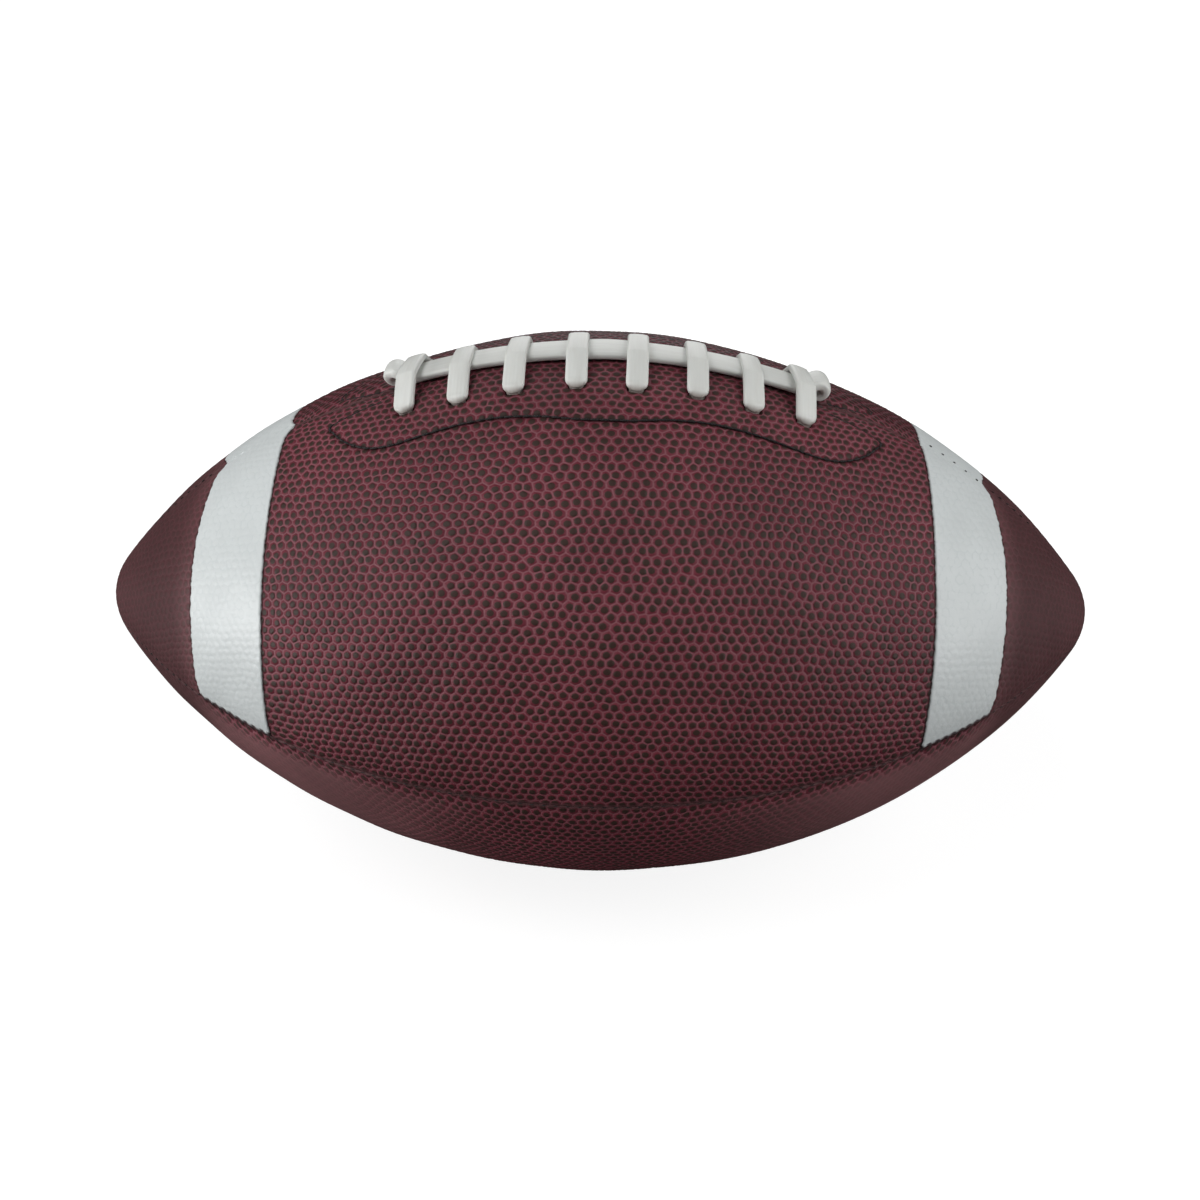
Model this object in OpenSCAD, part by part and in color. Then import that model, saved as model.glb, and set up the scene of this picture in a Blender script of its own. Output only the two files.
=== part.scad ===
/* [Ball] */
// Length of the ball over its two noses
ball_length = 283; // [275:1:291]
// Diameter at mid-length, across the side seams
ball_diameter = 154; // [148:1:158]
// Radius of the blunt noses
nose_r = 20; // [17:0.5:24]
// Depth of the flat patch that the ball's own weight presses into the cover
rest_flat = 0.15; // [0.1:0.05:0.3]

/* [Lace crown] */
// Height that the laced side stands above the round of the ball
crown_rise = 2.4; // [1.8:0.1:3]
// How much smaller the crown's radius across the ball is than the ball's own
crown_taper = 9.6; // [8:0.2:12]
// Distance from mid-length at which the crown runs out into the round of the ball
crown_run = 53.5; // [48:0.5:58]

/* [Cover] */
// Thickness of the pebbled cover
cover_t = 2.3; // [2:0.1:2.5]
// Depth of the seam allowance that is turned inwards, from the outer face
turn_in = 5; // [4.6:0.1:5.2]
// Half width of the groove that the turned edges leave at the seam
groove_half_w = 1.3; // [0.9:0.1:1.6]
// Depth of that groove
groove_d = 1.4; // [1:0.1:1.6]

/* [Lining and bladder] */
// Thickness of the fabric lining behind each panel
lining_t = 1; // [0.8:0.1:1.1]
// Wall of the bladder
bladder_t = 1.2; // [0.9:0.1:1.6]

/* [Stripes] */
// Distance from a nose's tip to the outer edge of a stripe, along the ball
stripe_inset = 37; // [34:0.5:40]
// Width of a stripe along the ball
stripe_w = 21.5; // [19:0.5:24]
// Thickness of the white film
stripe_t = 0.3; // [0.2:0.05:0.4]
// Step between the stripes of the two panels at the lace seam
stripe_jog = 1; // [0:0.1:1.5]

/* [Lace] */
// Number of cross stitches
stitches = 8; // [7:1:8]
// Distance between neighbouring cross stitches
lace_pitch = 14.2; // [13.6:0.1:14.4]
// Width of the lace where it crosses the seam
lace_w = 5.4; // [5:0.1:5.8]
// Width of the lace along the seam, where it lies slack
strand_w = 6.2; // [5.8:0.1:6.4]
// Thickness of the lace
lace_t = 2.4; // [2.1:0.1:2.5]
// Distance of the lace holes from the seam
hole_reach = 12; // [11.6:0.1:12.4]
// Place of the middle of the laces along the ball
lace_shift = 1.2; // [0:0.1:2]
// Distance that the long strand lies behind the seam
strand_shift = 3.4; // [2.8:0.1:3.6]

/* [Placket] */
// Half length of the stitched outline round the laces
placket_half_l = 71; // [70:0.5:73]
// Distance of the stitched outline from the seam
placket_reach = 20.5; // [20:0.1:21]
// Thickness of the reinforcing strips behind the lace holes
placket_t = 1.4; // [1.2:0.1:1.5]
// Thickness of the tongue between lace and bladder
tongue_t = 1.5; // [1.2:0.1:1.8]

/* [Valve] */
// Radius of the needle channel
needle_r = 1; // [0.9:0.05:1.1]
// Length of the needle channel
needle_l = 10; // [8:0.5:11]
// Radius of the valve's neck in the cover
neck_r = 3.4; // [3.2:0.1:4]

/* [Hidden] */
$fn = 96;

// Clearances
seam_gap = 0.1;
layer_gap = 0.1;
lace_gap = 0.35;
lace_lift = 0.15;
lace_over = 0.65;
film_gap = 0.02;

// The round of the ball: one belly arc on each side, tangent to a ball at each nose
ball_r = ball_diameter / 2;
nose_at = ball_length / 2 - nose_r;
belly_r = (nose_at * nose_at + ball_r * ball_r - nose_r * nose_r) / (2 * (ball_r - nose_r));
belly_drop = belly_r - ball_r;
nose_turn = atan2(nose_at, belly_drop);
axis_z = ball_r - rest_flat;
crown_fall = ball_r + crown_rise - (sqrt(belly_r * belly_r - crown_run * crown_run) - belly_drop);
crown_along_r = (crown_run * crown_run + crown_fall * crown_fall) / (2 * crown_fall);
crown_across_r = ball_r - crown_taper;
crown_drop = crown_along_r - crown_across_r;
crown_lift = crown_rise + crown_taper;
crown_blend = 4;

// Inner edge of a stripe
stripe_from = ball_length / 2 - stripe_inset - stripe_w;

// Depths of the layers below the outer face
lining_e = cover_t + layer_gap;
placket_e = lining_e + lining_t + layer_gap;
bladder_e = placket_e;
lace_run_e = max(placket_e + placket_t, turn_in) + lace_gap + lace_t / 2;
tongue_e = lace_run_e + lace_t / 2 + lace_gap;
pocket_e = tongue_e + tongue_t + lace_gap;

// Seam threads
thread_r = 0.35;
thread_e = placket_e + thread_r + layer_gap;
thread_side = seam_gap / 2 + cover_t + thread_r + layer_gap / 2;
thread_turn = nose_turn - 1;
top_thread_turn = asin((placket_half_l + 2 * turn_in) / belly_r);
ridge_half_w = thread_side + thread_r + layer_gap;
ridge_e = turn_in + layer_gap;
groove_shares = [[0, 1], [0.3, 0.5], [0.65, 0.2], [1, 0]];

// Valve, in the middle of the hidden lower panel
valve_turn = 135;
valve_recess = 0.3;
core_r = 2.3;
core_floor = 3;
core_l = needle_l + core_floor;
barrel_r = 5;
barrel_floor = 1.6;
flange_r = 11;
flange_t = 1.5;

// Reinforcing strip behind the placket, and the tongue
placket_margin = 3;
placket_stitch_r = 0.3;
tongue_half_w = 19;
tongue_half_l = 66;
outline_tip = 10;

// Route of the lace: bends round the edges of its holes, hooks at the two slits, hidden tails
bend_r = lace_t / 2 + lace_gap;
bend_turn = 30;
hole_turn = 18;
strips_e = lace_run_e - bend_r;
slit_step = 6;
slit_shift = 2;
slit_at = (stitches - 1) / 2 * lace_pitch + slit_step;
strand_low = lace_lift + lace_t / 2;
end_rise = 0.8;
hook_r = 1.6;
hook_lean = 50;
hook_fall = 50;
hook_sink = 0.1;
turn_r = 3.1;
slant_from = 0.04;
slant_bend = 0.14;
slant_steps = [slant_from, 0.11, 0.18, 0.3, 0.5, 0.7, 0.82, 0.89, 1 - slant_from];
tail_l = 7;
// Right half of the stitched outline, as shares of its half length and of its reach
outline_shares = [[0, 1.07], [0.1, 1.06], [0.22, 1], [0.36, 0.96], [0.5, 0.97], [0.62, 1.01],
  [0.74, 1.04], [0.83, 0.97], [0.92, 0.75], [0.985, 0.46], [1, 0.36], [0.965, 0.28],
  [0.9, 0.25], [0.83, 0.26]];

// Radius of the round of the ball at a place along it
function belly_at(x) = sqrt(belly_r * belly_r - x * x) - belly_drop;
// Radius of the crown at a place along it, or zero past its ends
function crown_at(x) = sqrt(max(crown_along_r * crown_along_r - x * x, 0)) - crown_drop;
// Distance of the crown's face from the long axis, at an angle from straight up
function crown_reach(x, turn) =
  let (r = max(crown_at(x), 0), side = crown_lift * sin(turn))
  crown_lift * cos(turn) + sqrt(max(r * r - side * side, 0));
// Slope of the face along the ball, the crown's where it stands up and the belly's past its ends
function slope_at(x) =
  let (share = max(min((crown_run - abs(x)) / (2 * crown_blend) + 0.5, 1), 0), belly = asin(x / belly_r))
  belly + share * (asin(x / crown_along_r) - belly);
// Point at a height over the outer face, x along the ball and s round it from the lace seam
function on_skin(x, s, h) =
  let (slope = slope_at(x), turn = turn_at(x, s),
       r = max(belly_at(x), crown_reach(x, turn)) + h * cos(slope))
  [x + h * sin(slope), r * sin(turn), axis_z + r * cos(turn)];
function turn_at(x, s) = s / belly_at(x) * 180 / PI;
// Directions along and round the ball
function along_skin(x, s) =
  let (a = slope_at(x), t = turn_at(x, s)) [cos(a), -sin(a) * sin(t), -sin(a) * cos(t)];
function round_skin(x, s) = let (t = turn_at(x, s)) [0, cos(t), -sin(t)];

module at_skin(x, s, h) {
  translate(on_skin(x, s, h)) rotate([-turn_at(x, s), 0, 0]) rotate([0, slope_at(x), 0]) children();
}

// Half outline of the round of the ball, its face moved inwards by e
module ball_profile(e) {
  shoulder = belly_r - e;
  reach = shoulder * sin(nose_turn);
  intersection() {
    translate([-belly_drop, 0]) circle(shoulder);
    translate([0, -reach]) square([ball_r, 2 * reach]);
  }
  for (end = [-1, 1])
    intersection() {
      translate([0, end * nose_at]) circle(nose_r - e);
      translate([0, end > 0 ? 0 : -ball_length]) square([ball_r, ball_length]);
    }
}

// The round of the ball about its long axis
module ball_body(e) {
  translate([0, 0, axis_z]) rotate([0, 90, 0]) rotate([0, 0, 30]) rotate_extrude() ball_profile(e);
}

// The crown that stands up under the laces
module crown_body(e) {
  translate([0, 0, axis_z + crown_lift]) rotate([0, 90, 0]) rotate([0, 0, 30]) rotate_extrude()
    intersection() {
      translate([-crown_drop, 0]) circle(crown_along_r - e);
      translate([0, -ball_length]) square([ball_length, 2 * ball_length]);
    }
}

// Everything inside the face moved inwards by e, above or below the side seams
module inside(e, level) {
  ball_body(e);
  if (level > 0) crown_body(e);
}

// One quarter of space between two seams, kept clear of both seam planes
module quarter(side, level, clear) {
  translate([-ball_length, side > 0 ? clear : -ball_length - clear,
             axis_z + (level > 0 ? clear : -ball_length - clear)])
    cube([2 * ball_length, ball_length, ball_length]);
}

// Sweeps a small outline along a seam, x outwards from the face and y sideways from the seam,
// from an angle of the belly's arc on each side of mid-length out to the noses
module along_seam(turn, belly_from) {
  translate([0, 0, axis_z]) rotate([turn, 0, 0]) rotate([90, 0, 0])
    for (end = [0, 1]) mirror([end, 0, 0]) {
      translate([0, -belly_drop])
        rotate_extrude(angle = nose_turn - belly_from, start = 90 - nose_turn)
          translate([belly_r, 0]) children();
      translate([nose_at, 0]) rotate_extrude(angle = 90 - nose_turn, start = 0)
        translate([nose_r, 0]) children();
    }
}

// V-shaped outline with rounded lips, the space between two turned edges
module groove_outline() {
  lip = [for (s = groove_shares) [-groove_d * s[0], groove_half_w * s[1]]];
  last = len(lip) - 1;
  polygon(concat([[groove_d, groove_half_w]], lip, [for (i = [last - 1:-1:0]) [lip[i][0], -lip[i][1]]],
                 [[groove_d, -groove_half_w]]));
}

module seam_groove(side, level) {
  along_seam(side > 0 ? -90 : 90, 0) groove_outline();
  along_seam(level > 0 ? 0 : 180, level > 0 ? asin(crown_run / belly_r) : 0) groove_outline();
  if (level > 0) {
    half = asin(crown_run / crown_along_r);
    translate([0, 0, axis_z + crown_lift - crown_drop]) rotate([90, 0, 0])
      rotate_extrude(angle = 2 * half, start = 90 - half) translate([crown_along_r, 0]) groove_outline();
  }
}

// Flat space that a stripe takes along the ball, in front or behind the lace seam, drawn in by e
module stripe_slab(side, end, e) {
  from = stripe_from + e + (side > 0 ? stripe_jog : 0);
  width = stripe_w - 2 * e;
  translate([end > 0 ? from : -from - width, -ball_length, 0])
    cube([width, 2 * ball_length, 2 * ball_length]);
}

// Slot with round ends, as wide as the lace and a little more, cut square through the layers
module lace_slot(x, s, along) {
  half_w = lace_w / 2 + lace_gap;
  half_t = lace_t / 2 + lace_gap;
  at_skin(x, s, -pocket_e) rotate([0, 0, along ? 0 : 90]) linear_extrude(pocket_e + 2 * lace_t) {
    square([2 * (half_w - half_t), 2 * half_t], center = true);
    for (end = [-1, 1]) translate([end * (half_w - half_t), 0]) circle(half_t);
  }
}

module lace_slots(side) {
  for (i = [0:stitches - 1]) lace_slot(station_x(i), side * hole_reach, true);
  for (end = [-1, 1]) lace_slot(lace_shift + end * slit_at, slit_shift, false);
}

module at_valve() {
  translate([0, 0, axis_z]) rotate([-valve_turn, 0, 0]) children();
}

// Pebbled cover panel with its two edges turned in for sewing
module panel(side, level) {
  difference() {
    intersection() {
      inside(0, level);
      quarter(side, level, seam_gap / 2);
    }
    inside(turn_in, level);
    intersection() {
      inside(cover_t, level);
      quarter(side, level, seam_gap / 2 + cover_t);
    }
    seam_groove(side, level);
    if (level > 0) {
      lace_slots(side);
      for (end = [-1, 1])
        difference() {
          stripe_slab(side, end, 0);
          ball_body(stripe_t);
        }
    } else {
      translate([-ball_length, -ball_length, -ball_length])
        cube([2 * ball_length, 2 * ball_length, ball_length]);
      if (side > 0) at_valve() cylinder(r = neck_r + layer_gap, h = ball_length);
    }
  }
}

module stripe(side, end) {
  difference() {
    intersection() {
      ball_body(0);
      quarter(side, 1, seam_gap / 2);
      stripe_slab(side, end, film_gap);
    }
    ball_body(stripe_t - film_gap);
    seam_groove(side, 1);
  }
}

module lining(side, level) {
  difference() {
    intersection() {
      inside(lining_e, level);
      quarter(side, level, seam_gap / 2 + cover_t + layer_gap);
    }
    inside(lining_e + lining_t, level);
    if (level > 0) lace_slots(side);
    else if (side > 0) at_valve() cylinder(r = neck_r + layer_gap, h = ball_length);
  }
}

// Outline round the laces, from one end of the ball to the other, on one side of the seam
function outline(half_l, reach, last) =
  concat([for (i = [last:-1:1]) [-outline_shares[i][0] * half_l, outline_shares[i][1] * reach]],
         [for (i = [0:last]) [outline_shares[i][0] * half_l, outline_shares[i][1] * reach]]);

// Space behind the stitched outline on one side, with a margin round it
module strip_prism(side, margin) {
  half_l = placket_half_l + margin;
  translate([lace_shift, 0, axis_z]) mirror([0, side < 0 ? 1 : 0, 0]) linear_extrude(2 * ball_r)
    polygon(concat([[-half_l, 0]], outline(half_l, placket_reach + margin, outline_tip), [[half_l, 0]]));
}

// Reinforcing strip sewn behind the lace holes
module placket(side) {
  difference() {
    intersection() {
      difference() {
        inside(placket_e, 1);
        inside(placket_e + placket_t, 1);
      }
      quarter(side, 1, seam_gap / 2 + cover_t + layer_gap);
      strip_prism(side, placket_margin);
    }
    lace_slots(side);
  }
}

// Points between the ones given, on a smooth curve through them
function smooth(p, n) =
  [for (i = [0:len(p) - 2], k = [0:n - 1])
     let (t = k / n, a = p[max(i - 1, 0)], b = p[i], c = p[i + 1], d = p[min(i + 2, len(p) - 1)])
     0.5 * (2 * b + (c - a) * t + (2 * a - 5 * b + 4 * c - d) * t * t
            + (3 * b - a - 3 * c + d) * t * t * t),
   p[len(p) - 1]];

function unit(v) = v / norm(v);

// Section of the lace in shares of its half width and half thickness, flat with round edges
lace_section = [[1, -0.45], [1, 0.45], [0.82, 1], [-0.82, 1], [-1, 0.45], [-1, -0.45], [-0.82, -1],
  [0.82, -1]];

// Rings of a band swept along a route. A route point is [x, s, h, turn of the width, width].
function band_rings(route, thick, shares) =
  let (at = [for (p = route) on_skin(p[0], p[1], p[2])], last = len(route) - 1)
  [for (i = [0:last])
     let (p = route[i], run = unit(at[min(i + 1, last)] - at[max(i - 1, 0)]),
          hint = cos(p[3]) * along_skin(p[0], p[1]) + sin(p[3]) * round_skin(p[0], p[1]),
          wide = unit(hint - (hint * run) * run), up = cross(run, wide))
     [for (s = shares) at[i] + wide * s[0] * p[4] / 2 + up * s[1] * thick / 2]];

// Closed solid through the rings, in triangles
module band(rings) {
  n = len(rings[0]);
  last = len(rings) - 1;
  polyhedron(
    points = [for (r = rings, p = r) p],
    faces = concat(
      [for (k = [1:n - 2]) [0, k, k + 1]],
      [for (k = [1:n - 2]) [last * n, last * n + k + 1, last * n + k]],
      [for (i = [0:last - 1], k = [0:n - 1]) [i * n + k, (i + 1) * n + k, i * n + (k + 1) % n]],
      [for (i = [0:last - 1], k = [0:n - 1])
         [i * n + (k + 1) % n, (i + 1) * n + k, (i + 1) * n + (k + 1) % n]]));
}

// Thread of the sewn line round the laces
module placket_stitch(side) {
  edge = outline(placket_half_l, placket_reach, len(outline_shares) - 1);
  lift = placket_stitch_r + layer_gap;
  route = [for (p = smooth(edge, 2)) [lace_shift + p[0], side * p[1], lift, 90, 2 * placket_stitch_r]];
  band(band_rings(route, 2 * placket_stitch_r, [for (k = [0:5]) [cos(60 * k), sin(60 * k)]]));
}

// Lock-stitch threads along both turned edges of a seam, the belly's arc between two angles
module seam_thread(turn, from, to) {
  translate([0, 0, axis_z]) rotate([turn, 0, 0]) rotate([90, 0, 0]) translate([0, -belly_drop])
    for (flank = [-1, 1])
      rotate_extrude(angle = to - from, start = 90 - to)
        translate([belly_r - thread_e, flank * thread_side]) circle(thread_r);
}

// Place along the ball of one cross stitch, counted from the left
function station_x(i) = lace_shift + (i - (stitches - 1) / 2) * lace_pitch;
// Height of the strand's middle over the face: its ends climb towards their hooks
function strand_h(x) = strand_low + end_rise * pow((x - lace_shift) / slit_at, 4);

// Bend of a cross stitch round the inner edge of its hole, outside or behind the layers
function hole_bend(x, side, turns) =
  [for (t = turns) [x, side * (hole_reach - bend_r + bend_r * cos(t)), bend_r * sin(t), 0, lace_w]];
function back_bend(x, s, dir, turns) =
  [for (t = turns) let (reach = bend_r * (1 - cos(t)))
     [x + dir[0] * reach, s + dir[1] * reach, bend_r * (1 - sin(t)) - lace_run_e, 0, lace_w]];

// One cross stitch, out of its rear hole, over the strand and into its front hole
function stitch_route(x) =
  let (top = strand_h(x) + lace_t + lace_over, near = strand_shift + strand_w / 2 + lace_over,
       far = strand_shift - strand_w / 2 - lace_over)
  concat(
    [for (e = [strips_e, strips_e / 2]) [x, hole_reach, -e, 0, lace_w]],
    hole_bend(x, 1, [0:hole_turn:3 * hole_turn]),
    [[x, near + lace_t * 0.3, top - lace_t * 0.19, 0, lace_w]],
    [for (u = [1:-0.5:0]) [x, near * u + far * (1 - u), top, 0, lace_w]],
    [[x, far - lace_t * 0.4, top - lace_t * 0.06, 0, lace_w]],
    [for (u = [0.25, 0.6]) let (from = far - lace_t * 0.4, to = -(hole_reach - bend_r * 0.7))
       [x, from + (to - from) * u, top - lace_t * 0.06 + (bend_r - top) * u, 0, lace_w]],
    hole_bend(x, -1, [4 * hole_turn:-hole_turn:0]),
    [for (e = [strips_e / 2, strips_e]) [x, -hole_reach, -e, 0, lace_w]]);

// Share of the way along the ball at a share of the way across it: straight out of a hole,
// then slantwise, then straight into the next hole
function slant(u) =
  let (v = (u - slant_from) / (1 - 2 * slant_from), ease = 2 * slant_bend * (1 - slant_bend))
  v < slant_bend ? v * v / ease
  : v > 1 - slant_bend ? 1 - (1 - v) * (1 - v) / ease : (v - slant_bend / 2) / (1 - slant_bend);

// Run behind the layers from one front hole to the next rear hole
function back_route(x, next) =
  let (reach = hole_reach - bend_r)
  concat(back_bend(x, -hole_reach, [0, 1], [bend_turn:bend_turn:90]),
         [for (u = slant_steps)
            [x + (next - x) * slant(u), reach * (2 * u - 1), -lace_run_e, 0, lace_w]],
         back_bend(next, hole_reach, [0, -1], [90:-bend_turn:bend_turn]));

// Run behind the layers from the last front hole, round to the right slit and up through it
function turn_route(x) =
  let (slit = lace_shift + slit_at, mid = slit - bend_r, near = bend_r - hole_reach,
       bend_from = slit_shift - turn_r)
  concat(back_bend(x, -hole_reach, [0, 1], [bend_turn:bend_turn:90]),
         [for (u = [0.12, 0.5, 0.85])
            [x + (mid - turn_r - x) * u * u * (3 - 2 * u), near + (bend_from - near) * u, -lace_run_e, 0, lace_w]],
         [for (t = [0:hole_turn:90])
            [mid - turn_r * cos(t), slit_shift + turn_r * (sin(t) - 1), -lace_run_e, -t, lace_w]],
         [for (t = [bend_turn, 2 * bend_turn])
            [mid + bend_r * sin(t), slit_shift, -lace_run_e + bend_r * (1 - cos(t)), -90, lace_w]],
         [for (e = [strips_e, strips_e / 2]) [slit, slit_shift, -e, -90, lace_w]]);

// Hook of the strand's end, from its slit up, over and down to the strand
function hook_route(end) =
  let (mid = [hook_r - 2 * hook_r * cos(hook_lean), 2 * hook_r * sin(hook_lean) - hook_sink],
       level = strand_h(station_x(end > 0 ? stitches - 1 : 0)),
       drop = mid[1] + hook_r * cos(hook_fall) - level - hook_r * (1 - cos(hook_fall)),
       foot = mid[0] - 2 * hook_r * sin(hook_fall) - drop / tan(hook_fall),
       way = concat(
         [for (t = [0, hook_lean / 2]) [hook_r * (1 - cos(t)), hook_r * sin(t) - hook_sink]],
         [for (k = [0:7]) let (t = 90 - hook_lean + (90 + hook_lean + hook_fall) * k / 7)
            mid + hook_r * [sin(t), -cos(t)]],
         [for (t = [hook_fall, hook_fall / 2, 0]) [foot + hook_r * sin(t), level + hook_r * (1 - cos(t))]]),
       last = len(way) - 1)
  [for (i = [0:last]) let (u = i / last * i / last * (3 - 2 * i / last))
     [lace_shift + end * (slit_at + way[i][0]), slit_shift + (strand_shift - slit_shift) * u, way[i][1],
      -90, lace_w + (strand_w - lace_w) * u]];

// The whole lace: hidden tail, cross stitches, right hook, long strand, left hook, hidden tail
function lace_route() =
  let (first = station_x(0), last = station_x(stitches - 1), left = lace_shift - slit_at,
       left_hook = hook_route(-1))
  concat(
    [for (u = [1, 0.5]) [first, hole_reach + bend_r + tail_l * u, -lace_run_e, 0, lace_w]],
    back_bend(first, hole_reach, [0, 1], [90:-bend_turn:bend_turn]),
    [for (i = [0:stitches - 1]) each concat(
       stitch_route(station_x(i)), i < stitches - 1 ? back_route(station_x(i), station_x(i + 1)) : [])],
    turn_route(last), hook_route(1),
    [for (x = [last:-lace_pitch / 4:first]) [x, strand_shift, strand_h(x), -90, strand_w]],
    [for (i = [len(left_hook) - 1:-1:0]) left_hook[i]],
    [for (e = [strips_e / 2, strips_e]) [left, slit_shift, -e, -90, lace_w]],
    [for (t = [bend_turn:bend_turn:90])
       [left - bend_r * (1 - cos(t)), slit_shift, bend_r * (1 - sin(t)) - lace_run_e, -90, lace_w]],
    [for (u = [0.5, 1]) [left - bend_r - tail_l * u, slit_shift, -lace_run_e, -90, lace_w]]);

// Least gap between distant parts of the lace, each ring's points against the boxes of the others
function lace_self_gap(route) =
  let (at = [for (p = route) on_skin(p[0], p[1], p[2])], last = len(route) - 1,
       run = [for (i = [0:last]) unit(at[min(i + 1, last)] - at[max(i - 1, 0)])],
       wide = [for (i = [0:last]) let (p = route[i], hint = cos(p[3]) * along_skin(p[0], p[1])
         + sin(p[3]) * round_skin(p[0], p[1])) unit(hint - (hint * run[i]) * run[i])],
       step = [for (i = [0:last]) norm(at[min(i + 1, last)] - at[max(i - 1, 0)]) / 2],
       way = [for (i = 0, sum = 0; i <= last; sum = sum + step[i], i = i + 1) sum],
       rings = band_rings(route, lace_t, lace_section))
  min([for (i = [0:last], j = [0:last])
         if (abs(way[i] - way[j]) > 3 * lace_w && norm(at[i] - at[j]) < 2 * lace_w)
           let (up = cross(run[j], wide[j]))
           min([for (q = rings[i]) let (d = q - at[j])
                  norm([max(abs(d * run[j]) - step[j], 0), max(abs(d * wide[j]) - route[j][4] / 2, 0),
                        max(abs(d * up) - lace_t / 2, 0)])])]);

module lace() {
  route = lace_route();
  echo(least_gap_of_lace_to_itself = lace_self_gap(route), rings = len(route));
  color("#e6e9ea") band(band_rings(route, lace_t, lace_section));
}

// Flat stadium, straight down through the layers under the laces
module stadium(half_l, half_w) {
  translate([lace_shift, 0, axis_z]) linear_extrude(2 * ball_r) {
    square([2 * (half_l - half_w), 2 * half_w], center = true);
    for (end = [-1, 1]) translate([end * (half_l - half_w), 0]) circle(half_w);
  }
}

module tongue() {
  color("#54302c") intersection() {
    difference() {
      inside(tongue_e, 1);
      inside(tongue_e + tongue_t, 1);
    }
    stadium(tongue_half_l, tongue_half_w);
  }
}

// Space that the bladder fills, its skin moved inwards by e: channels run along the sewn seams
module bladder_room(e) {
  half_w = ridge_half_w + e;
  difference() {
    inside(bladder_e + e, 1);
    difference() {
      for (turn = [0, 90])
        translate([0, 0, axis_z]) rotate([turn, 0, 0])
          cube([2 * ball_length, 2 * half_w, 2 * ball_length], center = true);
      inside(ridge_e + e, 1);
    }
    difference() {
      for (side = [-1, 1]) strip_prism(side, placket_margin + 2 * layer_gap + e);
      inside(placket_e + placket_t + layer_gap + e, 1);
    }
    difference() {
      stadium(tongue_half_l + layer_gap + e, tongue_half_w + layer_gap + e);
      inside(pocket_e + e, 1);
    }
  }
}

module bladder() {
  color("#2b2a2c") difference() {
    bladder_room(0);
    bladder_room(bladder_t);
    at_valve() cylinder(r = neck_r + layer_gap, h = ball_length);
  }
}

// Rubber valve housing: neck in the cover, flange bonded inside the bladder, closed barrel
module valve_housing() {
  seat_e = bladder_e + bladder_t + layer_gap;
  floor_at = ball_r - valve_recess - core_l - barrel_floor;
  color("#1c1b1c") difference() {
    union() {
      intersection() {
        difference() {
          ball_body(seat_e);
          ball_body(seat_e + flange_t);
        }
        at_valve() cylinder(r = flange_r, h = ball_length);
      }
      at_valve() {
        translate([0, 0, floor_at]) cylinder(r = barrel_r, h = ball_r - seat_e - flange_t / 2 - floor_at);
        translate([0, 0, floor_at]) cylinder(r = neck_r, h = ball_r - valve_recess - floor_at);
      }
    }
    at_valve() translate([0, 0, floor_at + barrel_floor]) cylinder(r = core_r + layer_gap, h = ball_r);
  }
}

module valve_core() {
  color("#2a2425") at_valve() translate([0, 0, ball_r - valve_recess - core_l]) difference() {
    cylinder(r = core_r, h = core_l);
    translate([0, 0, core_l - needle_l]) cylinder(r = needle_r, h = core_l);
  }
}

module panel_front_upper() { color("#64302c") panel(-1, 1); }
module panel_rear_upper() { color("#64302c") panel(1, 1); }
module panel_front_lower() { color("#64302c") panel(-1, -1); }
module panel_rear_lower() { color("#64302c") panel(1, -1); }
module stripe_front_left() { color("#d6dadb") stripe(-1, -1); }
module stripe_front_right() { color("#d6dadb") stripe(-1, 1); }
module stripe_rear_left() { color("#d6dadb") stripe(1, -1); }
module stripe_rear_right() { color("#d6dadb") stripe(1, 1); }
module lining_front_upper() { color("#c9c2b0") lining(-1, 1); }
module lining_rear_upper() { color("#c9c2b0") lining(1, 1); }
module lining_front_lower() { color("#c9c2b0") lining(-1, -1); }
module lining_rear_lower() { color("#c9c2b0") lining(1, -1); }
module placket_front() { color("#54302c") placket(-1); }
module placket_rear() { color("#54302c") placket(1); }
module placket_stitch_front() { color("#1d1516") placket_stitch(-1); }
module placket_stitch_rear() { color("#1d1516") placket_stitch(1); }
module seam_thread_top_left() { color("#1d1516") seam_thread(0, -thread_turn, -top_thread_turn); }
module seam_thread_top_right() { color("#1d1516") seam_thread(0, top_thread_turn, thread_turn); }
module seam_thread_front() { color("#1d1516") seam_thread(90, -thread_turn, thread_turn); }
module seam_thread_bottom() { color("#1d1516") seam_thread(180, -thread_turn, thread_turn); }
module seam_thread_rear() { color("#1d1516") seam_thread(-90, -thread_turn, thread_turn); }

panel_front_upper();
panel_rear_upper();
panel_front_lower();
panel_rear_lower();
stripe_front_left();
stripe_front_right();
stripe_rear_left();
stripe_rear_right();
lining_front_upper();
lining_rear_upper();
lining_front_lower();
lining_rear_lower();
placket_front();
placket_rear();
placket_stitch_front();
placket_stitch_rear();
seam_thread_top_left();
seam_thread_top_right();
seam_thread_front();
seam_thread_bottom();
seam_thread_rear();
lace();
tongue();
bladder();
valve_housing();
valve_core();
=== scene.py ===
"""Full-size american football: pebbled maroon cover, white stripes and white laces, in a white studio."""
import logging
import math
from collections.abc import Sequence
from dataclasses import dataclass
from enum import Enum

import bpy
import numpy as np
from mathutils import Matrix, Vector

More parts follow.
